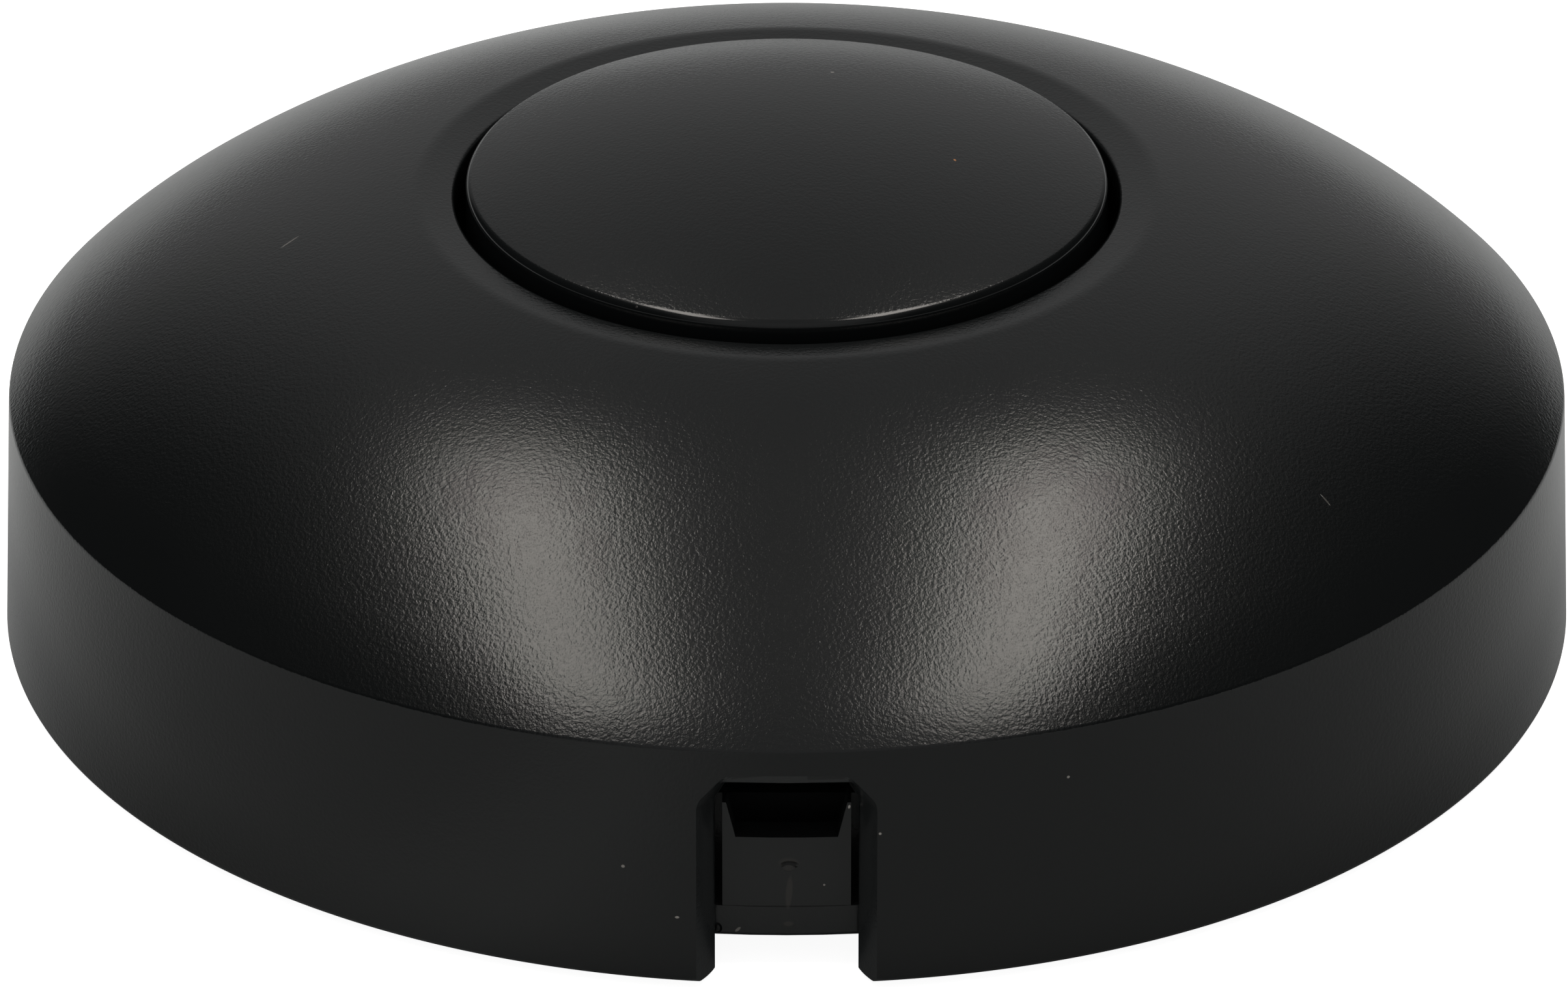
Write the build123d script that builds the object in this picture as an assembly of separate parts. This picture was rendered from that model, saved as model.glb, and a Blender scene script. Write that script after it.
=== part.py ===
from build123d import *
from math import asin, cos, radians, sin, tan
import os

os.makedirs("parts", exist_ok=True)

# Round foot dimmer, in millimetres. The floor is z = 0 under the middle of the button, the
# cable entries face -Y and +Y, and the button is pressed straight down.

# Cover, outside
cover_radius = 50.0            # skirt at its lower edge
cover_wall = 2.4
skirt_height = 16.0            # lower edge up to the crease
skirt_draft = 0.48             # how much narrower the skirt is at the crease
crease_slope = 47.3            # degrees, where the dome starts
shoulder_radius = 30.3
shoulder_end_slope = 37.3
crown_radius = 54.7
ring_outer_radius = 23.85      # where the dome flattens out round the button
ring_blend_radius = 9.0
ring_slope = 4.5
crease_round = 0.4
skirt_edge_bevel = 0.35

# Well that the button sits in
well_radius = 21.07
well_wall = 2.0
well_depth = 8.5
well_floor = 1.8
well_lip_round = 0.8
guide_wall = 1.7
guide_rise = 4.5

# Button
button_gap = 0.74              # all round, in the well
button_rim_rise = 0.8          # rim above the ring
button_crown = 3.2             # middle above the rim
button_wall = 1.8
button_skirt_wall = 1.4
button_rim_round = 0.5
button_travel = 2.5
button_floor_gap = 0.4         # left under the skirt when the button is pressed home
stem_radius = 3.0
stem_clearance = 0.08
spring_seat_drop = 0.55        # flat seat below the inside of the crown
spring_seat_radius = 8.0
rib_thickness = 1.0
rib_height = 1.6
button_rib_count = 6

# Snap legs that hold the button in
leg_angles = (0, 120, 240)
leg_width = 6.4
leg_reach = 1.5                # barb beyond the leg
barb_height = 0.7
leg_tip = 1.9                  # barb's top face down to the leg's end
leg_side_gap = 0.35
leg_flex = 1.75                # room inside each leg for it to spring inwards
barb_gap = 0.15                # below the well's floor at rest

# Return spring
spring_wire = 1.0
spring_mean_radius = 6.2
spring_turns = 4.5

# Cable entries, one at the front and one at the back
entry_angles = (0, 180)
entry_width = 8.8
entry_top = 13.95              # above the skirt's lower edge
entry_corner_wide = 1.1
entry_corner_high = 1.9
entry_corner_round = 0.6
entry_round = 0.9
entry_flare_wide = 1.3
entry_flare_high = 1.3
gate_width = 7.88              # upstand of the base that closes the entry's lower part
gate_top = 11.2
gate_sill = 8.83
gate_wall = 2.0
gate_opening_top = 7.42
gate_opening_bottom = 6.28

# Base
base_gap = 0.4                 # between the base and the skirt
base_thickness = 2.2
base_recess = 1.8              # base's underside above the skirt's lower edge
base_edge_bevel = 0.35
base_rib_height = 1.6
base_rib_inner = 11.0

# Feet
foot_proud = 0.6               # skirt's lower edge above the floor
foot_radius = 5.0
foot_inset = 11.2              # middle of a foot to the base's edge
foot_angles = (0, 90, 180, 270)
foot_recess = 0.9
foot_gap = 0.15
foot_round = 0.8

# Housing screws, driven from below
screw_inset = 8.7              # middle of a screw to the base's edge
screw_angles = (45, 135, 225, 315)
screw_joint = 12.0             # where posts and bosses meet, above the skirt's lower edge
screw_length = 12.0
screw_radius = 1.45
screw_head_radius = 2.8
screw_head_height = 1.8
screw_hole_gap = 0.25
pilot_gap = 0.05
pilot_spare = 1.5              # pilot hole beyond the screw's end
boss_radius = 3.8
boss_head_floor = 4.2          # base's underside up to the seat of the screw head
head_gap = 0.3
post_radius = 3.5
drive_width = 0.8              # slots of the cross recess
drive_depth = 1.0

# Circuit board
board_gap = 1.2                # between the board's edge and the screw bosses
board_thickness = 1.6
board_standoff = 3.0           # board's underside above the base
board_post_radius = 3.0
board_screw_inset = 3.7
board_screw_angles = (120, 240, 345)
board_screw_length = 5.5
board_pilot_spare = 0.6

# Push switch under the stem
switch_side = 12.0
switch_height = 5.0
switch_bevel = 0.6
plunger_radius = 2.4
plunger_clearance = 0.06
plunger_buried = 1.3           # length of plunger in the switch at rest
plunger_spare = 0.8            # stem's end above the switch when pressed home
plunger_end_gap = 0.2
stem_play = 0.1

# Terminals
terminal_width = 10.4
terminal_depth = 9.0
terminal_height = 10.0
terminal_pitch = 5.08
terminal_inset = 1.2           # outer face to the board's edge
terminal_wire_radius = 1.6
terminal_wire_height = 3.4
terminal_wire_depth = 6.5
terminal_screw_radius = 1.6
terminal_screw_length = 4.0
terminal_screw_gap = 0.15
terminal_screw_sunk = 1.0
terminal_step = 2.2

# Cord clamps
clamp_inset = 7.7              # middle of a clamp to the base's edge
clamp_depth = 6.0
clamp_length = 24.0
clamp_thickness = 2.2
clamp_boss_pitch = 18.0
clamp_boss_radius = 3.0
clamp_boss_top = 13.0          # above the skirt's lower edge
clamp_grip = 0.6
clamp_grip_length = 9.0
clamp_screw_length = 7.5
saddle_top = 9.4               # above the skirt's lower edge
saddle_width = 9.0
saddle_rib = 1.4

# Choke
choke_place = (13.5, -14.0)
choke_core_outer = 7.0
choke_core_inner = 4.0
choke_core_height = 6.4
choke_wire = 1.0
choke_wire_gap = 0.05
choke_turns = 16

# Triac on its heat sink
sink_place = (-19.5, -4.5)
sink_width = 12.0
sink_length = 15.5
sink_thickness = 1.6
sink_fin_height = 9.0
sink_fin_thickness = 1.2
triac_width = 10.2
triac_body_length = 9.0
triac_body_height = 4.4
triac_tab_length = 6.3
triac_tab_thickness = 1.3
triac_hole_radius = 1.8
triac_lead_pitch = 2.54
triac_lead_width = 0.8
triac_lead_thickness = 0.5
triac_lead_height = 2.2        # above the heat sink
triac_lead_reach = 2.6
triac_edge_gap = 0.5
sink_screw_head = 2.6
sink_screw_spare = 0.3         # end of the screw above the board

# Capacitors
film_cap_place = (14.0, 12.5)
film_cap_size = (12.0, 6.0, 10.0)
film_cap_round = 0.6
can_cap_place = (12.0, 3.0)
can_cap_radius = 4.0
can_cap_height = 9.6
can_cap_groove = 0.45

# Fuse
fuse_place = (-3.5, 10.4)
fuse_radius = 2.5
fuse_length = 20.0
fuse_cap_length = 5.0
fuse_cap_wall = 0.3
fuse_cap_gap = 0.04
fuse_lift = 0.9                # under the fuse, down to the board
clip_strip = 0.5
clip_width = 3.6
clip_mouth = 3.6               # gap between the tips of a clip's arms
clip_gap = 0.05

# Small parts on the board
chip_place = (-1.5, -12.0)
chip_size = (9.8, 6.4, 3.3)
chip_lift = 0.5
chip_pin_pitch = 2.54
chip_pin_width = 1.2
chip_pin_thickness = 0.3
chip_pin_count = 4
rectifier_place = (21.0, 5.0)
rectifier_size = (8.4, 6.4, 3.2)
rectifier_pin_pitch = 5.1
rectifier_pin_count = 2
resistor_row = -9.7            # x of the row beside the switch
resistor_first = -6.0
resistor_step = 3.5
resistor_count = 4
resistor_radius = 1.1
resistor_length = 4.4
diode_row = 12.5
diode_first = 18.5
diode_step = 3.3
diode_count = 2
diode_radius = 1.25
diode_length = 4.0
lead_radius = 0.3
lead_overhang = 0.7
part_lift = 0.25               # between the board and a lying resistor or diode

# Heights that follow from the sizes above
skirt_z = foot_proud
crease_z = skirt_z + skirt_height
crease_radius = cover_radius - skirt_draft
base_z = skirt_z + base_recess
base_top_z = base_z + base_thickness
base_radius = cover_radius - cover_wall - base_gap
joint_z = skirt_z + screw_joint
head_seat_z = base_z + boss_head_floor
board_z = base_top_z + board_standoff
board_top_z = board_z + board_thickness
clamp_z = skirt_z + clamp_boss_top

# Places that follow the base's edge, from the outside in
clamp_circle = base_radius - clamp_inset
screw_circle = base_radius - screw_inset
foot_circle = base_radius - foot_inset
board_radius = screw_circle - boss_radius - board_gap
board_screw_circle = board_radius - board_screw_inset
terminal_edge = board_radius - terminal_inset


def arc_centre(point, slope, radius):
    return (point[0] - radius * sin(slope), point[1] - radius * cos(slope))


def arc_point(centre, radius, slope):
    return (centre[0] + radius * sin(slope), centre[1] + radius * cos(slope))


# The dome is three tangent arcs, each given by its centre, radius, and slopes at both ends
shoulder_from = radians(crease_slope)
shoulder_to = radians(shoulder_end_slope)
shoulder_centre = arc_centre((crease_radius, crease_z), shoulder_from, shoulder_radius)
crown_centre = arc_centre(
    arc_point(shoulder_centre, shoulder_radius, shoulder_to), shoulder_to, crown_radius
)
crown_to = asin((ring_outer_radius - crown_centre[0]) / crown_radius)
blend_centre = arc_centre(arc_point(crown_centre, crown_radius, crown_to), crown_to, ring_blend_radius)
blend_to = radians(ring_slope)
dome_arcs = (
    (shoulder_centre, shoulder_radius, shoulder_from, shoulder_to),
    (crown_centre, crown_radius, shoulder_to, crown_to),
    (blend_centre, ring_blend_radius, crown_to, blend_to),
)


def ring_height(radius, inset):
    # The flat ring round the button, or its underside, at this radius
    edge = arc_point(blend_centre, ring_blend_radius - inset, blend_to)
    return edge[1] + (edge[0] - radius) * tan(blend_to)


lip_z = ring_height(well_radius, 0)
well_floor_z = lip_z - well_depth
well_under_z = well_floor_z - well_floor
guide_radius = stem_radius + stem_clearance
button_radius = well_radius - button_gap
button_rim_z = lip_z + button_rim_rise
button_sphere = (button_radius**2 + button_crown**2) / (2 * button_crown)
button_centre_z = button_rim_z + button_crown - button_sphere
button_skirt_z = well_floor_z + button_travel + button_floor_gap
spring_seat_z = button_rim_z + button_crown - button_wall - spring_seat_drop
barb_z = well_under_z - barb_gap
switch_top_z = board_top_z + switch_height
stem_end_z = switch_top_z + button_travel + plunger_spare


def at(radius, z):
    return Vector(radius, 0, z)


def dome_line(inset, start_slope):
    # The three arcs from the crease inwards, this far below the outer surface
    edges = []
    for index, (centre, radius, from_slope, to_slope) in enumerate(dome_arcs):
        first = start_slope if index == 0 else from_slope
        ends = [arc_point(centre, radius - inset, slope) for slope in (first, (first + to_slope) / 2, to_slope)]
        edges.append(ThreePointArc(*[at(*end) for end in ends]))
    return edges


def inner_start():
    # Slope at which the dome's inner arc meets the skirt's inner face
    reach = crease_radius - cover_wall - shoulder_centre[0]
    return asin(reach / (shoulder_radius - cover_wall))


def turned(edges):
    return revolve(make_face(edges), axis=Axis.Z)


def turned_outline(points):
    return turned(Polyline(*[at(*point) for point in points], close=True).edges())


def around(solid, angles):
    return [Rot(0, 0, angle) * solid for angle in angles]


def on_circle(radius, angles, z, solid):
    return [Rot(0, 0, angle) * Pos(radius, 0, z) * solid for angle in angles]


def rod(radius, bottom, top):
    return Pos(0, 0, bottom) * Cylinder(radius, top - bottom, align=(Align.CENTER, Align.CENTER, Align.MIN))


def block(x, y, bottom, top):
    low, high = (x[0], y[0], bottom), (x[1], y[1], top)
    size = [b - a for a, b in zip(low, high)]
    return Pos(*low) * Box(*size, align=(Align.MIN, Align.MIN, Align.MIN))


def centred_block(place, size, bottom):
    align = (Align.CENTER, Align.CENTER, Align.MIN)
    return Pos(place[0], place[1], bottom) * Box(*size, align=align)


def circles_at(solid, radius, z):
    # Round edges about the Z axis with this radius and height
    near = 0.01
    found = solid.edges().filter_by(GeomType.CIRCLE)
    return [e for e in found if abs(e.radius - radius) < near and abs(e.arc_center.Z - z) < near]


def cross_recess(z):
    # Cross drive cut into a head whose face is at z and looks up
    slot = 2 * screw_head_radius * 0.62
    return [centred_block((0, 0), size, z - drive_depth) for size in (
        (slot, drive_width, 2 * drive_depth), (drive_width, slot, 2 * drive_depth))]


def pan_screw(length, head_radius=screw_head_radius):
    # Stands on its point: the head's seat is at z = 0 and the shank hangs below it
    head = rod(head_radius, 0, screw_head_height)
    head = fillet(circles_at(head, head_radius, screw_head_height), screw_head_height * 0.4)
    shank = rod(screw_radius, -length, 0)
    shank = chamfer(circles_at(shank, screw_radius, -length), screw_radius * 0.4)
    return head + shank - cross_recess(screw_head_height)


def cover_body():
    outer = dome_line(0, shoulder_from)
    inner = dome_line(cover_wall, inner_start())
    well_outer = well_radius + well_wall
    stops = (
        outer[-1] @ 1,
        at(well_radius, lip_z),
        at(well_radius, well_floor_z),
        at(guide_radius + guide_wall, well_floor_z),
        at(guide_radius + guide_wall, well_floor_z + guide_rise),
        at(guide_radius, well_floor_z + guide_rise),
        at(guide_radius, well_under_z),
        at(well_outer, well_under_z),
        at(well_outer, ring_height(well_outer, cover_wall)),
        inner[-1] @ 1,
    )
    skirt = (
        inner[0] @ 0,
        at(cover_radius - cover_wall, skirt_z),
        at(cover_radius, skirt_z),
        outer[0] @ 0,
    )
    edges = outer + inner + Polyline(*stops).edges() + Polyline(*skirt).edges()
    body = turned(edges)
    body = fillet(circles_at(body, crease_radius, crease_z), crease_round)
    return fillet(circles_at(body, well_radius, lip_z), well_lip_round)


def cover_inside():
    # Everything that the cover encloses, used to trim posts and ribs to the dome
    inner = dome_line(cover_wall / 2, inner_start())
    foot = at((inner[0] @ 0).X, skirt_z)
    stops = Polyline(inner[-1] @ 1, at(0, ring_height(0, cover_wall / 2)), at(0, skirt_z), foot, inner[0] @ 0)
    return turned(inner + stops.edges())


def entry_cutter():
    half = entry_width / 2
    top = skirt_z + entry_top
    side = ((half, skirt_z - 1), (half, top - entry_corner_high), (half - entry_corner_wide, top))
    outline = list(side) + [(-x, z) for x, z in reversed(side)]
    face = make_face(Polyline(*[Vector(x, 0, z) for x, z in outline], close=True).edges())
    face = fillet([v for v in face.vertices() if v.Z > skirt_z], entry_corner_round)
    return Pos(0, -(cover_radius + cover_wall), 0) * extrude(face, 3 * cover_wall, dir=(0, 1, 0))


def entry_flare():
    # The entry widens at the skirt's lower edge
    half = entry_width / 2 + entry_flare_wide
    outline = ((half, skirt_z), (half - entry_flare_wide, skirt_z + entry_flare_high))
    below = ((half, skirt_z - 1), (0, skirt_z - 1), (0, skirt_z + entry_flare_high))
    face = make_face(Polyline(*[Vector(x, 0, z) for x, z in outline + below[::-1] + outline[:1]]).edges())
    cut = Pos(0, -(cover_radius + cover_wall), 0) * extrude(face, 3 * cover_wall, dir=(0, 1, 0))
    return [cut, mirror(cut, about=Plane.YZ)]


def skirt_edge_cutter():
    # Ring that takes the sharp corner off the skirt's lower edge
    beyond = cover_radius + skirt_edge_bevel
    return turned_outline((
        (cover_radius - skirt_edge_bevel, skirt_z),
        (beyond, skirt_z + 2 * skirt_edge_bevel),
        (beyond, skirt_z - skirt_edge_bevel),
        (cover_radius - skirt_edge_bevel, skirt_z - skirt_edge_bevel),
    ))


def entry_rim(body, angle):
    # Edges of one entry on the outside of the skirt
    wide = entry_width / 2 + 0.1
    rim = []
    for edge in body.edges():
        middle = (edge @ 0.5).rotate(Axis.Z, -angle)
        outside = middle.Y < -(crease_radius - cover_wall / 2)
        if outside and abs(middle.X) < wide and skirt_z + 1 < middle.Z < skirt_z + entry_top + 0.1:
            rim.append(edge)
    return rim


def leg_slot():
    # Slot in the well's floor that one snap leg runs in, with room for the leg to spring inwards
    inner = button_radius - button_skirt_wall - leg_flex
    half = leg_width / 2 + leg_side_gap
    ring = rod(button_radius + leg_side_gap, well_under_z, well_floor_z) - rod(inner, well_under_z, well_floor_z)
    return ring & block((0, well_radius), (-half, half), well_under_z, well_floor_z)


def make_top_cover():
    body = cover_body() - around(entry_cutter(), entry_angles)
    for angle in entry_angles:
        body = fillet(entry_rim(body, angle), entry_round)
    for cut in entry_flare():
        body = body - around(cut, entry_angles)
    body = body - skirt_edge_cutter()
    body = body - around(leg_slot(), leg_angles)
    post = rod(post_radius, joint_z, lip_z)
    rib = block((0, cover_radius - screw_circle), (-rib_thickness / 2, rib_thickness / 2), joint_z + 2, lip_z)
    posts = on_circle(screw_circle, screw_angles, 0, post + rib)
    inside = cover_inside()
    body = body + [(inside & solid) for solid in posts]
    pilot = rod(screw_radius + pilot_gap, joint_z, head_seat_z + screw_length + pilot_spare)
    return body - on_circle(screw_circle, screw_angles, 0, pilot)


def under_crown(solid, depth):
    # The part of a solid that lies at least this far below the button's crown
    return solid & (Pos(0, 0, button_centre_z) * Sphere(button_sphere - depth))


def make_push_button():
    leg_inner = button_radius - button_skirt_wall
    apex_z = button_rim_z + button_crown
    shell = under_crown(rod(button_radius, button_skirt_z, apex_z), 0)
    shell = fillet(circles_at(shell, button_radius, button_rim_z), button_rim_round)
    shell = shell - under_crown(rod(leg_inner, button_skirt_z, apex_z), button_wall)
    stem = rod(stem_radius, stem_end_z, spring_seat_z)
    stem = chamfer(circles_at(stem, stem_radius, stem_end_z), stem_radius * 0.2)
    seat = under_crown(rod(spring_seat_radius, spring_seat_z, apex_z), button_wall / 2)
    rib_reach = (spring_seat_radius - rib_thickness, leg_inner + rib_thickness / 2)
    rib = block(rib_reach, (-rib_thickness / 2, rib_thickness / 2), spring_seat_z - rib_height, apex_z)
    rib = under_crown(rib, button_wall / 2)
    rib_angles = [360 / button_rib_count * index for index in range(button_rib_count)]
    leg_root = button_skirt_z + button_skirt_wall
    leg_outline = (
        (leg_inner, leg_root),
        (button_radius, leg_root),
        (button_radius, barb_z),
        (button_radius + leg_reach, barb_z),
        (button_radius + leg_reach, barb_z - barb_height),
        (button_radius - button_skirt_wall / 3, barb_z - leg_tip),
        (leg_inner, barb_z - leg_tip),
    )
    leg_box = block((0, cover_radius), (-leg_width / 2, leg_width / 2), barb_z - leg_tip, button_rim_z)
    leg = (Rot(0, 0, 180) * turned_outline(leg_outline)) & leg_box
    return shell + [stem, seat] + around(rib, rib_angles) + around(leg, leg_angles)


def make_return_spring():
    # Ends ground flat on the well's floor and on the button's seat
    height = spring_seat_z - well_floor_z
    rise = height - spring_wire * 0.6
    path = Helix(pitch=rise / spring_turns, height=rise, radius=spring_mean_radius)
    section = Plane(origin=path @ 0, z_dir=path % 0) * Circle(spring_wire / 2)
    coil = Pos(0, 0, well_floor_z + spring_wire * 0.3) * sweep(section, path=path, is_frenet=True)
    slab = rod(spring_mean_radius + spring_wire, well_floor_z, spring_seat_z)
    return coil & slab


def make_base_plate():
    plate = rod(base_radius, base_z, base_top_z)
    plate = chamfer(circles_at(plate, base_radius, base_z), base_edge_bevel)
    gate_half = gate_width / 2
    gate = rod(base_radius, base_top_z, skirt_z + gate_top) - rod(base_radius - gate_wall, base_z, skirt_z + gate_top)
    gate = gate & block((-gate_half, gate_half), (-cover_radius, 0), base_top_z, skirt_z + gate_top)
    sill, top = skirt_z + gate_sill, skirt_z + gate_top
    corners = ((-gate_opening_bottom / 2, sill), (gate_opening_bottom / 2, sill),
               (gate_opening_top / 2, top), (-gate_opening_top / 2, top))
    opening = make_face(Polyline(*[Vector(x, 0, z) for x, z in corners], close=True).edges())
    gate = gate - extrude(opening, cover_radius, dir=(0, -1, 0))
    saddle = clamp_circle + clamp_depth / 2
    saddle_bar = block((-saddle_width / 2, saddle_width / 2), (-saddle, -saddle + saddle_rib),
                       base_top_z, skirt_z + saddle_top)
    rear_bar = Pos(0, clamp_depth - saddle_rib, 0) * saddle_bar
    clamp_boss = rod(clamp_boss_radius, base_top_z, clamp_z)
    clamp_pilot = rod(screw_radius + pilot_gap, clamp_z + clamp_thickness - clamp_screw_length - pilot_spare / 2,
                      clamp_z)
    sides = (-clamp_boss_pitch / 2, clamp_boss_pitch / 2)
    boss = rod(boss_radius, base_top_z, joint_z)
    foot_seat = rod(foot_radius + foot_gap, base_z, base_z + foot_recess)
    head_bore = rod(screw_head_radius + head_gap, base_z, head_seat_z)
    screw_hole = rod(screw_radius + screw_hole_gap, head_seat_z, joint_z)
    board_post = rod(board_post_radius, base_top_z, board_z)
    board_pilot = rod(screw_radius + pilot_gap, board_top_z - board_screw_length - board_pilot_spare, board_z)
    rib = block((base_rib_inner, screw_circle), (-rib_thickness / 2, rib_thickness / 2), base_top_z,
                base_top_z + base_rib_height)
    ring = rod(base_rib_inner + rib_thickness, base_top_z, base_top_z + base_rib_height)
    ring = ring - rod(base_rib_inner, base_top_z, base_top_z + base_rib_height)
    added = around(gate, entry_angles) + around(saddle_bar, entry_angles) + around(rear_bar, entry_angles)
    for x in sides:
        added += around(Pos(x, -clamp_circle, 0) * clamp_boss, entry_angles)
    added += on_circle(screw_circle, screw_angles, 0, boss)
    added += around(rib, screw_angles) + [ring]
    added += on_circle(board_screw_circle, board_screw_angles, 0, board_post)
    removed = on_circle(foot_circle, foot_angles, 0, foot_seat)
    removed += on_circle(screw_circle, screw_angles, 0, head_bore)
    removed += on_circle(screw_circle, screw_angles, 0, screw_hole)
    removed += on_circle(board_screw_circle, board_screw_angles, 0, board_pilot)
    for x in sides:
        removed += around(Pos(x, -clamp_circle, 0) * clamp_pilot, entry_angles)
    return plate + added - removed


def make_rubber_feet():
    foot = rod(foot_radius, 0, base_z + foot_recess)
    foot = fillet(circles_at(foot, foot_radius, 0), foot_round)
    return on_circle(foot_circle, foot_angles, 0, foot)


def make_housing_screws():
    # Heads down in the base's bosses
    screw = Rot(180, 0, 0) * pan_screw(screw_length)
    return on_circle(screw_circle, screw_angles, head_seat_z, screw)


def make_circuit_board():
    board = rod(board_radius, board_z, board_top_z)
    hole = rod(screw_radius + screw_hole_gap, board_z, board_top_z)
    return board - on_circle(board_screw_circle, board_screw_angles, 0, hole)


def make_board_screws():
    return on_circle(board_screw_circle, board_screw_angles, board_top_z, pan_screw(board_screw_length))


def make_push_switch():
    body = centred_block((0, 0), (switch_side, switch_side, switch_height), board_top_z)
    body = chamfer(body.edges().filter_by(Axis.Z), switch_bevel)
    bore_bottom = switch_top_z - plunger_buried - button_travel - plunger_end_gap
    return body - rod(plunger_radius + plunger_clearance, bore_bottom, switch_top_z)


def make_switch_plunger():
    top = stem_end_z - stem_play
    plunger = rod(plunger_radius, switch_top_z - plunger_buried, top)
    return chamfer(circles_at(plunger, plunger_radius, top), plunger_radius * 0.2)


def terminal_screw_places():
    y = -terminal_edge + terminal_depth / 2
    return [(x, y) for x in (-terminal_pitch / 2, terminal_pitch / 2)]


def make_terminal(angle):
    # Two-way screw terminal, its wire entries facing the cable
    top = board_top_z + terminal_height
    half = terminal_width / 2
    body = block((-half, half), (-terminal_edge, -terminal_edge + terminal_depth), board_top_z, top)
    step = block((-half, half), (-terminal_edge, -terminal_edge + terminal_step), top - terminal_step, top)
    wire = Rot(90, 0, 0) * rod(terminal_wire_radius, 0, terminal_wire_depth)
    body = body - step
    for x, y in terminal_screw_places():
        deep = board_top_z + terminal_wire_height
        body = body - Pos(x, -terminal_edge + terminal_wire_depth, deep) * wire
        body = body - Pos(x, y, 0) * rod(terminal_screw_radius + terminal_screw_gap, deep, top)
    return Rot(0, 0, angle) * body


def make_terminal_screws():
    top = board_top_z + terminal_height - terminal_screw_sunk
    screw = rod(terminal_screw_radius, top - terminal_screw_length, top)
    slot = centred_block((0, 0), (3 * terminal_screw_radius, drive_width, 2 * drive_depth), top - drive_depth)
    screws = []
    for x, y in terminal_screw_places():
        screws += around(Pos(x, y, 0) * (screw - slot), entry_angles)
    return screws


def make_cord_clamp(angle):
    half = clamp_length / 2
    y = (-clamp_circle - clamp_depth / 2, -clamp_circle + clamp_depth / 2)
    bar = block((-half, half), y, clamp_z, clamp_z + clamp_thickness)
    bar = fillet(bar.edges().filter_by(Axis.Z), clamp_depth / 2 - 0.2)
    grip_half = clamp_grip_length / 2
    for share in (-1, 1):
        middle = -clamp_circle + share * clamp_depth / 4
        bar += block((-grip_half, grip_half), (middle - clamp_grip, middle + clamp_grip),
                     clamp_z - clamp_grip, clamp_z)
    hole = rod(screw_radius + screw_hole_gap, clamp_z, clamp_z + clamp_thickness)
    for x in (-clamp_boss_pitch / 2, clamp_boss_pitch / 2):
        bar = bar - Pos(x, -clamp_circle, 0) * hole
    return Rot(0, 0, angle) * bar


def make_clamp_screws():
    screws = []
    for x in (-clamp_boss_pitch / 2, clamp_boss_pitch / 2):
        screw = Pos(x, -clamp_circle, clamp_z + clamp_thickness) * pan_screw(clamp_screw_length)
        screws += around(screw, entry_angles)
    return screws


def choke_core_z():
    return board_top_z + choke_wire + choke_wire_gap


def make_choke_core():
    bottom = choke_core_z()
    top = bottom + choke_core_height
    core = rod(choke_core_outer, bottom, top) - rod(choke_core_inner, bottom, top)
    return Pos(*choke_place, 0) * core


def make_choke_winding():
    # One squared loop of wire for each turn, spread round the core
    inner, outer = choke_core_inner - choke_wire_gap, choke_core_outer + choke_wire_gap
    bottom = board_top_z + choke_wire
    top = choke_core_z() + choke_core_height + choke_wire_gap
    half = choke_wire / 2
    loop = block((inner - choke_wire, outer + choke_wire), (-half, half), board_top_z, top + choke_wire)
    loop = fillet(loop.edges().filter_by(Axis.Y), choke_wire * 0.9)
    loop = loop - block((inner, outer), (-half, half), bottom, top)
    angles = [360 / choke_turns * turn for turn in range(choke_turns)]
    return [Pos(*choke_place, 0) * solid for solid in around(loop, angles)]


sink_top_z = board_top_z + sink_thickness
sink_edge_y = sink_place[1] - sink_length / 2
triac_x = sink_place[0] + sink_fin_thickness / 2
triac_tab_y = sink_edge_y + triac_edge_gap
triac_hole_y = triac_tab_y + triac_tab_length / 2


def make_heat_sink():
    low_x, high_x = sink_place[0] - sink_width / 2, sink_place[0] + sink_width / 2
    y = (sink_edge_y, sink_edge_y + sink_length)
    foot = block((low_x, high_x), y, board_top_z, sink_top_z)
    fin = block((low_x, low_x + sink_fin_thickness), y, sink_top_z, sink_top_z + sink_fin_height)
    return foot + fin - Pos(triac_x, triac_hole_y, 0) * rod(screw_radius + pilot_gap, board_top_z, sink_top_z)


def make_triac():
    half = triac_width / 2
    body_y = triac_tab_y + triac_tab_length
    end_y = body_y + triac_body_length
    tab = block((triac_x - half, triac_x + half), (triac_tab_y, body_y), sink_top_z, sink_top_z + triac_tab_thickness)
    tab = tab - Pos(triac_x, triac_hole_y, 0) * rod(triac_hole_radius, sink_top_z, sink_top_z + triac_tab_thickness)
    body = block((triac_x - half, triac_x + half), (body_y, end_y), sink_top_z, sink_top_z + triac_body_height)
    body = chamfer(body.edges().filter_by(Axis.X).group_by(Axis.Z)[-1], triac_tab_thickness * 0.6)
    lead_z = sink_top_z + triac_lead_height
    leads = []
    for step in (-1, 0, 1):
        x = triac_x + step * triac_lead_pitch
        sides = (x - triac_lead_width / 2, x + triac_lead_width / 2)
        tip = end_y + triac_lead_reach
        leads.append(block(sides, (end_y, tip), lead_z, lead_z + triac_lead_thickness))
        leads.append(block(sides, (tip - triac_lead_thickness, tip), board_top_z, lead_z))
    return body + [tab] + leads


def make_sink_screw():
    screw = pan_screw(sink_thickness + triac_tab_thickness - sink_screw_spare, sink_screw_head)
    return Pos(triac_x, triac_hole_y, sink_top_z + triac_tab_thickness) * screw


def make_film_capacitor():
    body = centred_block(film_cap_place, film_cap_size, board_top_z)
    body = fillet(body.edges().filter_by(Axis.Z), film_cap_round)
    return fillet(body.faces().sort_by(Axis.Z)[-1].edges(), film_cap_round / 2)


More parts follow.
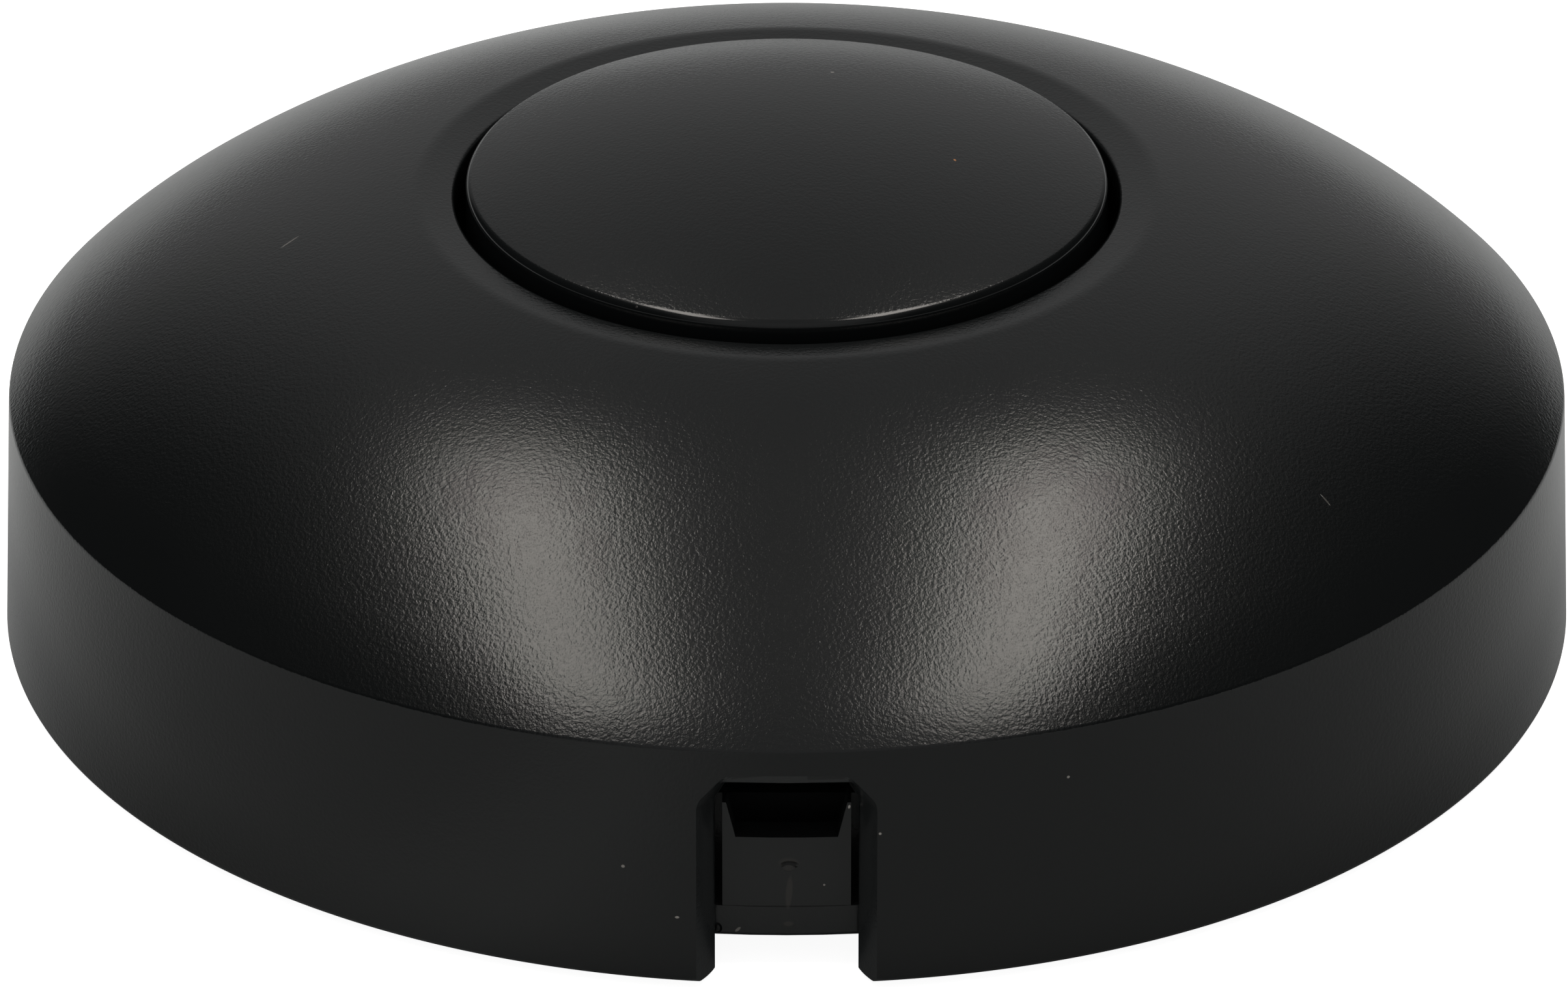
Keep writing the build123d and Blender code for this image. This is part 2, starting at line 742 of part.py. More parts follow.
def make_can_capacitor():
    top = board_top_z + can_cap_height
    neck = can_cap_radius - can_cap_groove
    crimp = (board_top_z + 1.2, board_top_z + 1.7, board_top_z + 2.2)
    outline = (
        (0, board_top_z),
        (can_cap_radius, board_top_z),
        (can_cap_radius, crimp[0]),
        (neck, crimp[1]),
        (can_cap_radius, crimp[2]),
        (can_cap_radius, top - can_cap_groove),
        (neck, top),
        (0, top),
    )
    return Pos(*can_cap_place, 0) * turned_outline(outline)


fuse_z = board_top_z + fuse_lift + fuse_radius + fuse_cap_gap + fuse_cap_wall


def fuse_rod(radius, length):
    # Along X, about the fuse's own middle
    return Pos(*fuse_place, fuse_z) * Rot(0, 90, 0) * Cylinder(radius, length)


def make_fuse_tube():
    return fuse_rod(fuse_radius, fuse_length - 2 * fuse_cap_wall - 2 * fuse_cap_gap)


def make_fuse_caps():
    caps = fuse_rod(fuse_radius + fuse_cap_gap + fuse_cap_wall, fuse_length)
    caps = caps - fuse_rod(fuse_radius + fuse_cap_gap, fuse_length - 2 * fuse_cap_wall)
    reach = fuse_radius + 1
    middle = block((-fuse_length / 2 + fuse_cap_length, fuse_length / 2 - fuse_cap_length), (-reach, reach),
                   -reach, reach)
    return caps - Pos(*fuse_place, fuse_z) * middle


def make_fuse_clips():
    # Spring strip round each cap, open at the top, on a foot on the board
    inner = fuse_radius + fuse_cap_gap + fuse_cap_wall + clip_gap
    ring = Circle(inner + clip_strip) - Circle(inner)
    ring = ring - Pos(0, inner) * Rectangle(clip_mouth, 2 * inner)
    foot_height = fuse_z - inner - board_top_z
    foot = Pos(0, -inner - foot_height / 2) * Rectangle(2 * clip_mouth, foot_height)
    section = Plane.YZ * (ring + (foot - Circle(inner + clip_strip / 2)))
    clip = Pos(*fuse_place, fuse_z) * extrude(section, clip_width / 2, both=True)
    shift = (fuse_length - fuse_cap_length) / 2
    return [Pos(x, 0, 0) * clip for x in (-shift, shift)]


def pinned_block(place, size, pitch, count):
    # Moulded body on two rows of flat pins that stand on the board
    top = board_top_z + chip_lift + size[2]
    body = centred_block(place, size, board_top_z + chip_lift)
    body = chamfer(body.edges().group_by(Axis.Z)[-1], chip_lift / 2)
    pin_top = (board_top_z + chip_lift + top) / 2
    pins = []
    for index in range(count):
        x = place[0] + (index - (count - 1) / 2) * pitch
        sides = (x - chip_pin_width / 2, x + chip_pin_width / 2)
        for side in (-1, 1):
            face = place[1] + side * size[1] / 2
            outer = face + side * 2 * chip_pin_thickness
            inner = outer - side * chip_pin_thickness
            pins.append(block(sides, sorted((inner, outer)), board_top_z, pin_top))
            pins.append(block(sides, sorted((face, inner)), pin_top - chip_pin_thickness, pin_top))
    return body + pins


def axial_parts(row, first, step, count, radius, length):
    # Bodies lying along X in a row up Y, a wire at each end bent down to the board
    z = board_top_z + part_lift + radius
    reach = length / 2 + lead_overhang
    body = Rot(0, 90, 0) * Cylinder(radius, length)
    body = chamfer(body.edges().filter_by(GeomType.CIRCLE), radius * 0.25)
    wire = Rot(0, 90, 0) * Cylinder(lead_radius, 2 * reach)
    body = body + wire
    for side in (-1, 1):
        body = body + Pos(side * (reach - lead_radius), 0, 0) * rod(lead_radius, board_top_z - z, 0)
    return [Pos(row, first + step * index, z) * body for index in range(count)]


def save(name, shape):
    solids = [solid for item in (shape if isinstance(shape, list) else [shape]) for solid in item.solids()]
    export_step(solids[0] if len(solids) == 1 else Compound(children=solids), f"parts/{name}.step")


save("top_cover", make_top_cover())
save("push_button", make_push_button())
save("return_spring", make_return_spring())
save("base_plate", make_base_plate())
save("rubber_feet", make_rubber_feet())
save("housing_screws", make_housing_screws())
save("circuit_board", make_circuit_board())
save("board_screws", make_board_screws())
save("push_switch", make_push_switch())
save("switch_plunger", make_switch_plunger())
save("supply_terminal", make_terminal(0))
save("lamp_terminal", make_terminal(180))
save("terminal_screws", make_terminal_screws())
save("front_cord_clamp", make_cord_clamp(0))
save("rear_cord_clamp", make_cord_clamp(180))
save("clamp_screws", make_clamp_screws())
save("choke_core", make_choke_core())
save("choke_winding", make_choke_winding())
save("heat_sink", make_heat_sink())
save("triac", make_triac())
save("heat_sink_screw", make_sink_screw())
save("film_capacitor", make_film_capacitor())
save("can_capacitor", make_can_capacitor())
save("fuse_tube", make_fuse_tube())
save("fuse_caps", make_fuse_caps())
save("fuse_clips", make_fuse_clips())
save("control_chip", pinned_block(chip_place, chip_size, chip_pin_pitch, chip_pin_count))
save("bridge_rectifier", pinned_block(rectifier_place, rectifier_size, rectifier_pin_pitch, rectifier_pin_count))
save("resistors", axial_parts(
    resistor_row, resistor_first, resistor_step, resistor_count, resistor_radius, resistor_length))
save("diodes", axial_parts(diode_row, diode_first, diode_step, diode_count, diode_radius, diode_length))
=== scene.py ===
import bpy
from math import acos, asin, atan2, cos, hypot, pi, radians, sin, sqrt, tan
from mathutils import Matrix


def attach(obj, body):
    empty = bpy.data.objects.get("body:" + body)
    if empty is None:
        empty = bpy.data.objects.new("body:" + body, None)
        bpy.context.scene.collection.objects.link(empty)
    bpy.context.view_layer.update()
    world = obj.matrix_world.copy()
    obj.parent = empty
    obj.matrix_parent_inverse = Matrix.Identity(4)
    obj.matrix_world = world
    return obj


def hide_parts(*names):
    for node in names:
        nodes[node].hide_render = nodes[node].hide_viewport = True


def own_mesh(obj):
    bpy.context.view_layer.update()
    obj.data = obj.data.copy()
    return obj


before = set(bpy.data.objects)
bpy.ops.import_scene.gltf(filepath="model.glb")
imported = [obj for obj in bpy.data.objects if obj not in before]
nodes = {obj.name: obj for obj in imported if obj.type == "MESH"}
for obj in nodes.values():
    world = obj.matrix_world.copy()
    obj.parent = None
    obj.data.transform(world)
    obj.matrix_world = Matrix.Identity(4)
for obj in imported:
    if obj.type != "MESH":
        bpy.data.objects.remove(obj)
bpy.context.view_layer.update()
scene = bpy.context.scene
scene.view_settings.view_transform = "Standard"
mm = 0.001
print("frame loaded:", len(nodes), "nodes")


# Camera, measured from the photograph: long lens, 28 degrees above the floor
cameraView = {
    "distance": 958.1 * mm,
    "elevation": 27.98,
    "height": 0.6 * mm,      # the skirt's lower edge stands this high
    "pitch": 27.56,
    "yaw": 0.0118,
    "lens": 342.53, "sensor": 36.0,
    "near": 0.05, "far": 20.0,
}


def placeCamera(view):
    elevation = radians(view["elevation"])
    bpy.ops.object.camera_add(
        location=(0, -view["distance"] * cos(elevation), view["distance"] * sin(elevation) + view["height"]),
        rotation=(radians(90 - view["pitch"]), 0, radians(view["yaw"])))
    camera = bpy.context.object
    camera.name = "camera"
    camera.data.lens = view["lens"]
    camera.data.sensor_width = view["sensor"]
    camera.data.clip_start = view["near"]
    camera.data.clip_end = view["far"]
    scene.camera = camera


placeCamera(cameraView)
print("camera placed")


def fillSockets(tree, node, links):
    # A value is set on its socket, and a socket is linked to it
    for name, value in links:
        if isinstance(value, bpy.types.NodeSocket):
            tree.links.new(value, node.inputs[name])
        else:
            node.inputs[name].default_value = value


def addNode(tree, kind, links=(), **values):
    made = tree.nodes.new(kind)
    for key, value in values.items():
        setattr(made, key, value)
    fillSockets(tree, made, links)
    return made


def ramp(tree, value, stops):
    made = addNode(tree, "ShaderNodeValToRGB", [("Fac", value)])
    points = made.color_ramp.elements
    while len(points) < len(stops):
        points.new(0.5)
    for point, (place, level) in zip(points, stops):
        point.position = place
        point.color = (*level, 1) if isinstance(level, tuple) else (level, level, level, 1)
    return made.outputs["Color"]


def maths(tree, operation, first, second=0.0, clamp=False):
    made = addNode(tree, "ShaderNodeMath", [(0, first), (1, second)], operation=operation, use_clamp=clamp)
    return made.outputs[0]


def mapRange(tree, value, fromMin, fromMax, toMin=0.0, toMax=1.0, **values):
    made = addNode(tree, "ShaderNodeMapRange", [
        ("Value", value), ("From Min", fromMin), ("From Max", fromMax), ("To Min", toMin), ("To Max", toMax)],
        **values)
    return made.outputs[0]


def mixed(tree, factor, first, second, **values):
    # A colour mix; a colour of three values gets its fourth here
    ends = [(*end, 1) if isinstance(end, tuple) else end for end in (first, second)]
    made = addNode(tree, "ShaderNodeMix", [("Factor", factor), ("A", ends[0]), ("B", ends[1])],
                   data_type="RGBA", **values)
    return made.outputs[2]


def noise(tree, place, scale, **sockets):
    made = addNode(tree, "ShaderNodeTexNoise", [("Vector", place), ("Scale", scale), *sockets.items()])
    return made.outputs["Fac"]


def bumpNormal(tree, height, depth, strength=1.0):
    made = addNode(tree, "ShaderNodeBump", [("Height", height), ("Distance", depth), ("Strength", strength)])
    return made.outputs[0]


def plainMaterial(name, **values):
    material = bpy.data.materials.new(name)
    material.use_nodes = True
    tree = material.node_tree
    shader = tree.nodes["Principled BSDF"]
    fillSockets(tree, shader, values.items())
    place = addNode(tree, "ShaderNodeTexCoord").outputs["Object"]
    return material, tree, shader, place


# Studio: two long soft boxes overhead, a grey backdrop behind and darkness to both sides
studio = {
    "plain": 0.34,           # light from all round on matt surfaces
    # What the plastic mirrors: brightness by how far to the side it looks, and its share by how far up
    "sideLevels": ((0.0, 0.33), (0.33, 0.33), (0.46, 0.2145), (0.54, 0.1287), (0.6, 0.0396), (0.67, 0.006)),
    "upLevels": ((0.0, 0.82), (0.3, 0.98), (0.6, 1.0), (0.85, 0.78), (1.0, 0.72)),
    "lampHeight": 1.0,       # metres, as all the lengths here
    "lampTilt": 20.0,        # degrees left and right of straight up
    "lampWidth": 0.2,
    "lampFrom": -0.50,       # front end of each box
    "lampTo": 0.40,
    "leftPower": 3.65,       # watts
    "rightPower": 3.95,
    "lampColour": (1.0, 0.95, 0.89),
    "floorRadius": 6.0, "floorSides": 96,
    "floorColour": 0.72,
    "floorMirrored": (0.425, 0.446, 0.454),
    # How light the floor looks in the skirt, from 100 mm left of the middle to 100 mm right
    "patchReach": 0.1,
    "floorPatches": (
        (0.0, 1.0), (0.2, 0.8), (0.3, 0.82), (0.35, 1.0), (0.39, 1.05), (0.45, 0.76), (0.5, 0.68), (0.7, 0.69),
        (1.0, 0.98)),
    "floorCamera": 0.93,     # its own glow as the camera sees it
    "floorBehind": 0.22,     # its glow as the plastic mirrors it, from behindFrom to behindTo and on
    "behindFrom": -0.03,
    "behindTo": 0.02,
}


def lightRoom(room):
    world = bpy.data.worlds.new("studio")
    scene.world = world
    world.use_nodes = True
    tree = world.node_tree
    tree.nodes.clear()
    way = addNode(tree, "ShaderNodeTexCoord").outputs["Generated"]
    x, _, z = addNode(tree, "ShaderNodeSeparateXYZ", [("Vector", way)]).outputs
    path = addNode(tree, "ShaderNodeLightPath").outputs
    mirrored = mixed(tree, 1.0, ramp(tree, maths(tree, "ABSOLUTE", x), room["sideLevels"]),
                     ramp(tree, z, room["upLevels"]), blend_type="MULTIPLY")
    level = mixed(tree, path["Is Glossy Ray"], (room["plain"],) * 3, mirrored)
    around = addNode(tree, "ShaderNodeBackground", [("Color", level), ("Strength", 1.0)])
    white = addNode(tree, "ShaderNodeBackground", [("Color", (1, 1, 1, 1)), ("Strength", 1.0)])
    seen = addNode(tree, "ShaderNodeMixShader", [
        (0, path["Is Camera Ray"]), (1, around.outputs[0]), (2, white.outputs[0])])
    addNode(tree, "ShaderNodeOutputWorld", [("Surface", seen.outputs[0])])
    for side, power in ((-1, room["leftPower"]), (1, room["rightPower"])):
        tilt = radians(room["lampTilt"]) * side
        place = (room["lampHeight"] * tan(tilt), (room["lampFrom"] + room["lampTo"]) / 2, room["lampHeight"])
        bpy.ops.object.light_add(type="AREA", location=place, rotation=(0, tilt, 0))
        lamp = bpy.context.object
        lamp.name = "leftBox" if side < 0 else "rightBox"
        lamp.data.shape = "RECTANGLE"
        lamp.data.size = room["lampWidth"]
        lamp.data.size_y = room["lampTo"] - room["lampFrom"]
        lamp.data.energy = power
        lamp.data.color = room["lampColour"]
        lamp.visible_camera = False


def layFloor(room):
    bpy.ops.object.select_all(action="DESELECT")
    bpy.ops.mesh.primitive_circle_add(vertices=room["floorSides"], radius=room["floorRadius"], fill_type="NGON")
    floor = bpy.context.object
    floor.name = "floor"
    material = bpy.data.materials.new("floorWhite")
    material.use_nodes = True
    tree = material.node_tree
    tree.nodes.clear()
    path = addNode(tree, "ShaderNodeLightPath").outputs
    place = addNode(tree, "ShaderNodeTexCoord").outputs["Object"]
    x, y, _ = addNode(tree, "ShaderNodeSeparateXYZ", [("Vector", place)]).outputs
    mirrored = maths(tree, "ADD", path["Is Glossy Ray"], path["Is Transmission Ray"], True)
    behind = mapRange(tree, y, room["behindFrom"], room["behindTo"], 0.0, room["floorBehind"])
    glow = maths(tree, "ADD", maths(tree, "MULTIPLY", path["Is Camera Ray"], room["floorCamera"]),
                 maths(tree, "MULTIPLY", mirrored, behind))
    across = mapRange(tree, x, -room["patchReach"], room["patchReach"])
    patches = mixed(tree, 1.0, room["floorMirrored"], ramp(tree, across, room["floorPatches"]),
                    blend_type="MULTIPLY")
    tone = mixed(tree, mirrored, (room["floorColour"],) * 3, patches)
    lit = addNode(tree, "ShaderNodeBsdfDiffuse", [("Color", tone)])
    shine = addNode(tree, "ShaderNodeEmission", [("Strength", glow)])
    both = addNode(tree, "ShaderNodeAddShader", [(0, lit.outputs[0]), (1, shine.outputs[0])])
    # Seen from below, the floor is clear
    back = addNode(tree, "ShaderNodeNewGeometry").outputs["Backfacing"]
    clear = addNode(tree, "ShaderNodeBsdfTransparent")
    sided = addNode(tree, "ShaderNodeMixShader", [(0, back), (1, both.outputs[0]), (2, clear.outputs[0])])
    addNode(tree, "ShaderNodeOutputMaterial", [("Surface", sided.outputs[0])])
    floor.data.materials.append(material)


lightRoom(studio)
layFloor(studio)
print("studio lit")


# Shared by all the moulded pieces
moulded = {
    "cloudScale": 60.0,      # tone and gloss wander this fast over a piece
    "cloudDetail": 3.0, "cloudFrom": 0.3, "cloudTo": 0.7,
    "pitDetail": 2.0, "pitRoughness": 0.6,
    "pitLevels": ((0.0, 0.0), (0.32, 0.07), (0.66, 0.93), (1.0, 1.0)),     # rounded pits with steep sides
    "rimBlend": 0.06 * mm,   # over this width the grain gives way to a polished rim
    "outward": 0.95,         # a face whose normal's Y is larger is skin, not a cut face
    "markFrom": 1.2, "markTo": 0.8,        # a mark fades in between these shares of its half lengths
    "markTint": (1.0, 0.96, 0.9),
}

# Each dust speck, fibre, moulding mark or painted glint: place, half lengths and turn, in mm and degrees, then its
# tone and how far it stands up, in grain depths
coverPlastic = {
    "colour": (0.0043, 0.0050, 0.0053), "pale": (0.0056, 0.0064, 0.0067),
    "specular": 0.45, "roughness": 0.2, "roughnessSpread": 0.01,
    "grain": 0.24 * mm, "grainDepth": 0.0095 * mm,
    "entry": (5.85, 15.6, (0.014, 0.0155, 0.016)),     # half width, top and painted tone of the entries' cut faces, lighter to stand in for light from the floor
    "marksAndGlints": (
        ((-31.4, -2.8, 27.9), (0.75, 0.07, 0.4), (0, 0, 35), 0.1, 2),
        ((33.4, -26.9, 22.1), (0.45, 0.06, 0.4), (0, 0, -40), 0.06, 2),
        ((-10.0, -48.8, 8.3), (0.11, 0.6, 0.1), (0, 0, 0), 0.2, 2),
        ((17.2, -46.5, 13.3), (0.09, 0.6, 0.09), (0, 0, 0), 0.2, 2),
        ((-6.7, -49.4, 5.1), (0.13, 0.6, 0.08), (0, 0, 0), 0.22, 2),
        ((5.7, -49.4, 10.9), (0.09, 0.6, 0.08), (0, 20, 0), 0.25, 2),
    ),
}
buttonPlastic = {
    "colour": (0.0043, 0.0050, 0.0053), "pale": (0.0056, 0.0064, 0.0067),
    "specular": 0.45, "roughness": 0.2, "roughnessSpread": 0.01,
    "grain": 0.24 * mm, "grainDepth": 0.0095 * mm,
    "polished": (20.05, 0.13),     # the rim from this radius on, and its roughness
    "marksAndGlints": (
        ((2.9, 10.1, 33.6), (0.12, 0.1, 0.5), (0, 0, 0), 0.2, 2),
        ((10.6, -2.4, 33.5), (0.08, 0.13, 0.5), (0, 0, 20), (0.3, 0.13, 0.05), 2),
        ((-9.4, -18.1, 31.0), (0.14, 0.2, 0.12), (0, 0, 0), 0.05, 2),
    ),
}
basePlastic = {
    "colour": (0.0120, 0.0132, 0.0135), "pale": (0.0150, 0.0162, 0.0164),
    "specular": 0.45, "roughness": 0.21, "roughnessSpread": 0.03,
    "grain": 0.24 * mm, "grainDepth": 0.007 * mm,
    # On the front gate: a witness line, the pale streak, the hooked gate mark with a painted highlight on its rim,
    # painted glints and a chip
    "marksAndGlints": (
        ((0.0, -47.2, 4.62), (4.2, 0.6, 0.035), (0, 0, 0), 0.002, -4),
        ((0.15, -47.2, 5.6), (0.2, 0.6, 1.1), (0, 4, 0), 0.027, 1),
        ((0.1, -47.2, 3.4), (0.3, 0.6, 0.16), (0, 0, 0), 0.026, 1),
        # The gate mark: a dark ring with a mid-grey middle; the pale ellipse behind it is a painted highlight
        # along its upper left rim
        ((0.13, -47.2, 7.66), (0.58, 0.6, 0.34), (0, 0, 0), 0.024, 2),
        ((0.17, -47.2, 7.52), (0.48, 0.6, 0.24), (0, 0, 0), 0.001, -14),
        ((0.12, -47.2, 7.3), (0.34, 0.6, 0.2), (0, 0, 0), 0.024, 4),
        # Painted glints: pale spots at the gate's right tip and below it, standing in for light caught on those
        # edges
        ((3.82, -47.1, 11.5), (0.07, 0.6, 0.12), (0, 12, 0), 0.4, 0),
        ((2.3, -47.2, 6.1), (0.07, 0.6, 0.07), (0, 0, 0), 0.2, 2),
        ((-3.0, -47.2, 2.95), (0.09, 0.6, 0.22), (0, 45, 0), 0.12, 2),
        ((-4.3, -47.2, 3.0), (0.3, 0.6, 0.35), (0, 0, 0), 0.001, -16),
    ),
}
clampPlastic = {
    "colour": (0.012, 0.012, 0.012), "pale": (0.018, 0.018, 0.018),
    "specular": 0.5, "roughness": 0.38, "roughnessSpread": 0.05, "grain": 0.5 * mm, "grainDepth": 0.01 * mm,
}
switchPlastic = {
    "colour": (0.045, 0.045, 0.05), "pale": (0.055, 0.055, 0.06),
    "specular": 0.5, "roughness": 0.35, "roughnessSpread": 0.05, "grain": 0.4 * mm, "grainDepth": 0.006 * mm,
}
plungerPlastic = {
    "colour": (0.45, 0.03, 0.02), "pale": (0.5, 0.045, 0.03),
    "specular": 0.5, "roughness": 0.22, "roughnessSpread": 0.04, "grain": 0.6 * mm, "grainDepth": 0.004 * mm,
}
terminalPlastic = {
    "colour": (0.03, 0.2, 0.065), "pale": (0.035, 0.25, 0.08),
    "specular": 0.5, "roughness": 0.36, "roughnessSpread": 0.05, "grain": 0.5 * mm, "grainDepth": 0.008 * mm,
}
epoxyBody = {
    "colour": (0.022, 0.022, 0.024), "pale": (0.032, 0.032, 0.034),
    "specular": 0.4, "roughness": 0.55, "roughnessSpread": 0.06, "grain": 0.12 * mm, "grainDepth": 0.012 * mm,
}
filmBox = {
    "colour": (0.6, 0.4, 0.05), "pale": (0.66, 0.46, 0.07),
    "specular": 0.5, "roughness": 0.4, "roughnessSpread": 0.05, "grain": 0.3 * mm, "grainDepth": 0.01 * mm,
}
diodeBody = {
    "colour": (0.028, 0.028, 0.028), "pale": (0.036, 0.036, 0.036),
    "specular": 0.45, "roughness": 0.45, "roughnessSpread": 0.05, "grain": 0.1 * mm, "grainDepth": 0.008 * mm,
}
ferriteBody = {
    "colour": (0.055, 0.055, 0.06), "pale": (0.095, 0.095, 0.1),
    "specular": 0.4, "roughness": 0.6, "roughnessSpread": 0.08, "grain": 0.2 * mm, "grainDepth": 0.03 * mm,
}
rubberFoot = {
    "colour": (0.012, 0.012, 0.012), "pale": (0.03, 0.029, 0.028),
    "specular": 0.35, "roughness": 0.62, "roughnessSpread": 0.08, "grain": 0.16 * mm, "grainDepth": 0.03 * mm,
}


def mouldedPlastic(name, look):
    material, tree, shader, place = plainMaterial(name, **{"Specular IOR Level": look["specular"]})
    cloud = noise(tree, place, moulded["cloudScale"], Detail=moulded["cloudDetail"])
    tone = mixed(tree, cloud, look["colour"], look["pale"])
    rough = mapRange(tree, cloud, moulded["cloudFrom"], moulded["cloudTo"],
                     look["roughness"] - look["roughnessSpread"], look["roughness"] + look["roughnessSpread"])
    pits = noise(tree, place, 1 / look["grain"], Detail=moulded["pitDetail"], Roughness=moulded["pitRoughness"])
    height = ramp(tree, pits, moulded["pitLevels"])
    if "polished" in look:
        radius, smooth = look["polished"]
        flat = addNode(tree, "ShaderNodeVectorMath", [(0, place), (1, (1, 1, 0))], operation="MULTIPLY")
        away = addNode(tree, "ShaderNodeVectorMath", [(0, flat.outputs[0])], operation="LENGTH")
        rim = mapRange(tree, away.outputs["Value"], radius * mm - moulded["rimBlend"], radius * mm)
        rough = addNode(tree, "ShaderNodeMix", [("Factor", rim), ("A", rough), ("B", smooth)]).outputs[0]
        height = maths(tree, "MULTIPLY", height, maths(tree, "SUBTRACT", 1.0, rim))
    # Painted light: the entries' cut faces get a lighter tone that stands in for the light the white floor throws
    # into the entries
    if "entry" in look:
        half, top, paintedLitTone = look["entry"]
        x, _, z = addNode(tree, "ShaderNodeSeparateXYZ", [("Vector", place)]).outputs
        facing = addNode(tree, "ShaderNodeTexCoord").outputs["Normal"]
        front = addNode(tree, "ShaderNodeSeparateXYZ", [("Vector", facing)]).outputs[1]
        inside = maths(tree, "LESS_THAN", maths(tree, "ABSOLUTE", x), half * mm)
        inside = maths(tree, "MULTIPLY", inside, maths(tree, "LESS_THAN", z, top * mm))
        across = maths(tree, "LESS_THAN", maths(tree, "ABSOLUTE", front), moulded["outward"])
        tone = mixed(tree, maths(tree, "MULTIPLY", inside, across), tone, paintedLitTone)
    # Dust, fibres and moulding marks, and on the base plate also painted glints and a painted highlight
    for spot, halves, turn, level, lift in look.get("marksAndGlints", ()):
        near = addNode(tree, "ShaderNodeMapping", [
            ("Vector", place), ("Location", [v * mm for v in spot]), ("Rotation", [radians(v) for v in turn]),
            ("Scale", [v * mm for v in halves])], vector_type="TEXTURE")
        away = addNode(tree, "ShaderNodeVectorMath", [("Vector", near.outputs[0])], operation="LENGTH")
        there = mapRange(tree, away.outputs["Value"], moulded["markFrom"], moulded["markTo"])
        colour = level if isinstance(level, tuple) else tuple(level * v for v in moulded["markTint"])
        tone = mixed(tree, there, tone, colour)
        height = maths(tree, "ADD", height, maths(tree, "MULTIPLY", there, lift))
    fillSockets(tree, shader, [
        ("Base Color", tone), ("Roughness", rough), ("Normal", bumpNormal(tree, height, look["grainDepth"]))])
    return material


def finish(node, material):
    for place in nodes[node].material_slots:
        place.material = material


# Metals: base colour, roughness and how strongly the rolling or drawing shows
metals = {
    "screwSteel": ((0.62, 0.62, 0.60), 0.32, 0.10, 0.25), "terminalSteel": ((0.62, 0.61, 0.58), 0.28, 0.08, 0.2),
    "springSteel": ((0.42, 0.42, 0.41), 0.30, 0.10, 0.35), "sinkAluminium": ((0.58, 0.59, 0.60), 0.42, 0.08, 0.5),
    "tinnedMetal": ((0.68, 0.67, 0.64), 0.26, 0.10, 0.2),
}
metalSurface = {
    "drawn": (9000, 700, 700),             # how fast the drawn lines change along X, Y and Z
    "streakDetail": 2.0, "streakDepth": 0.01 * mm,
    "cloudScale": 350.0, "cloudDetail": 4.0, "cloudFrom": 0.3, "cloudTo": 0.7,
    "dull": 0.72,            # share of the base colour where it is dullest
}


def plainMetal(name, colour, roughness, spread, streaks):
    material, tree, shader, place = plainMaterial(name, Metallic=1.0)
    drawn = addNode(tree, "ShaderNodeMapping", [("Vector", place), ("Scale", metalSurface["drawn"])])
    lines = noise(tree, drawn.outputs[0], 1.0, Detail=metalSurface["streakDetail"])
    cloud = noise(tree, place, metalSurface["cloudScale"], Detail=metalSurface["cloudDetail"])
    rough = mapRange(tree, cloud, metalSurface["cloudFrom"], metalSurface["cloudTo"],
                     roughness + spread, roughness - spread)
    fillSockets(tree, shader, [
        ("Base Color", mixed(tree, cloud, tuple(v * metalSurface["dull"] for v in colour), colour)),
        ("Roughness", rough), ("Normal", bumpNormal(tree, lines, metalSurface["streakDepth"], streaks))])
    return material


# Finishes with a pattern of their own
boardLook = {
    "lacquer": (0.02, 0.10, 0.03), "overCopper": (0.05, 0.20, 0.07), "trackScale": 260.0,
    "trackFrom": 0.128, "trackTo": 0.16, "roughness": 0.3, "step": 0.035 * mm,
}
wireLook = {
    "deep": (0.30, 0.08, 0.02), "colour": (0.48, 0.15, 0.04), "scale": 500.0, "roughness": 0.24,
    "metallic": 0.85, "coat": 0.8,
}
glassLook = {
    "deep": (0.86, 0.9, 0.88), "colour": (0.93, 0.97, 0.95), "scale": 200.0, "roughness": 0.03, "ior": 1.5,
}
cloudyLook = {"detail": 3.0, "depth": 0.01 * mm}
sleeveLook = {
    "colour": (0.025, 0.035, 0.085), "stripe": (0.45, 0.47, 0.5), "stripeX": 8.9 * mm, "roughness": 0.25,
    "scale": 900.0, "depth": 0.02 * mm,
}
resistorLook = {
    "colour": (0.52, 0.40, 0.24), "roughness": 0.35,
    "bands": (
        (0.30, (0.16, 0.05, 0.02)), (0.45, (0.02, 0.02, 0.02)), (0.60, (0.45, 0.10, 0.02)),
        (0.78, (0.42, 0.30, 0.06))),
    "from": -11.4 * mm, "to": -8.0 * mm, "bandWidth": 0.06,
}


def boardLaminate(look):
    # Tracks show as paler, slightly raised lines under the green lacquer
    material, tree, shader, place = plainMaterial("boardLaminate", Roughness=look["roughness"])
    second, first = [
        addNode(tree, "ShaderNodeTexVoronoi", [("Vector", place), ("Scale", look["trackScale"])],
                feature=feature, distance="CHEBYCHEV").outputs["Distance"] for feature in ("F2", "F1")]
    track = mapRange(tree, maths(tree, "SUBTRACT", second, first), look["trackFrom"], look["trackTo"])
    fillSockets(tree, shader, [
        ("Base Color", mixed(tree, track, look["lacquer"], look["overCopper"])),
        ("Normal", bumpNormal(tree, track, look["step"]))])
    return material


def cloudyMaterial(name, look, **values):
    material, tree, shader, place = plainMaterial(name, Roughness=look["roughness"], **values)
    cloud = noise(tree, place, look["scale"], Detail=cloudyLook["detail"])
    fillSockets(tree, shader, [
        ("Base Color", mixed(tree, cloud, look["deep"], look["colour"])),
        ("Normal", bumpNormal(tree, cloud, cloudyLook["depth"]))])
    return material


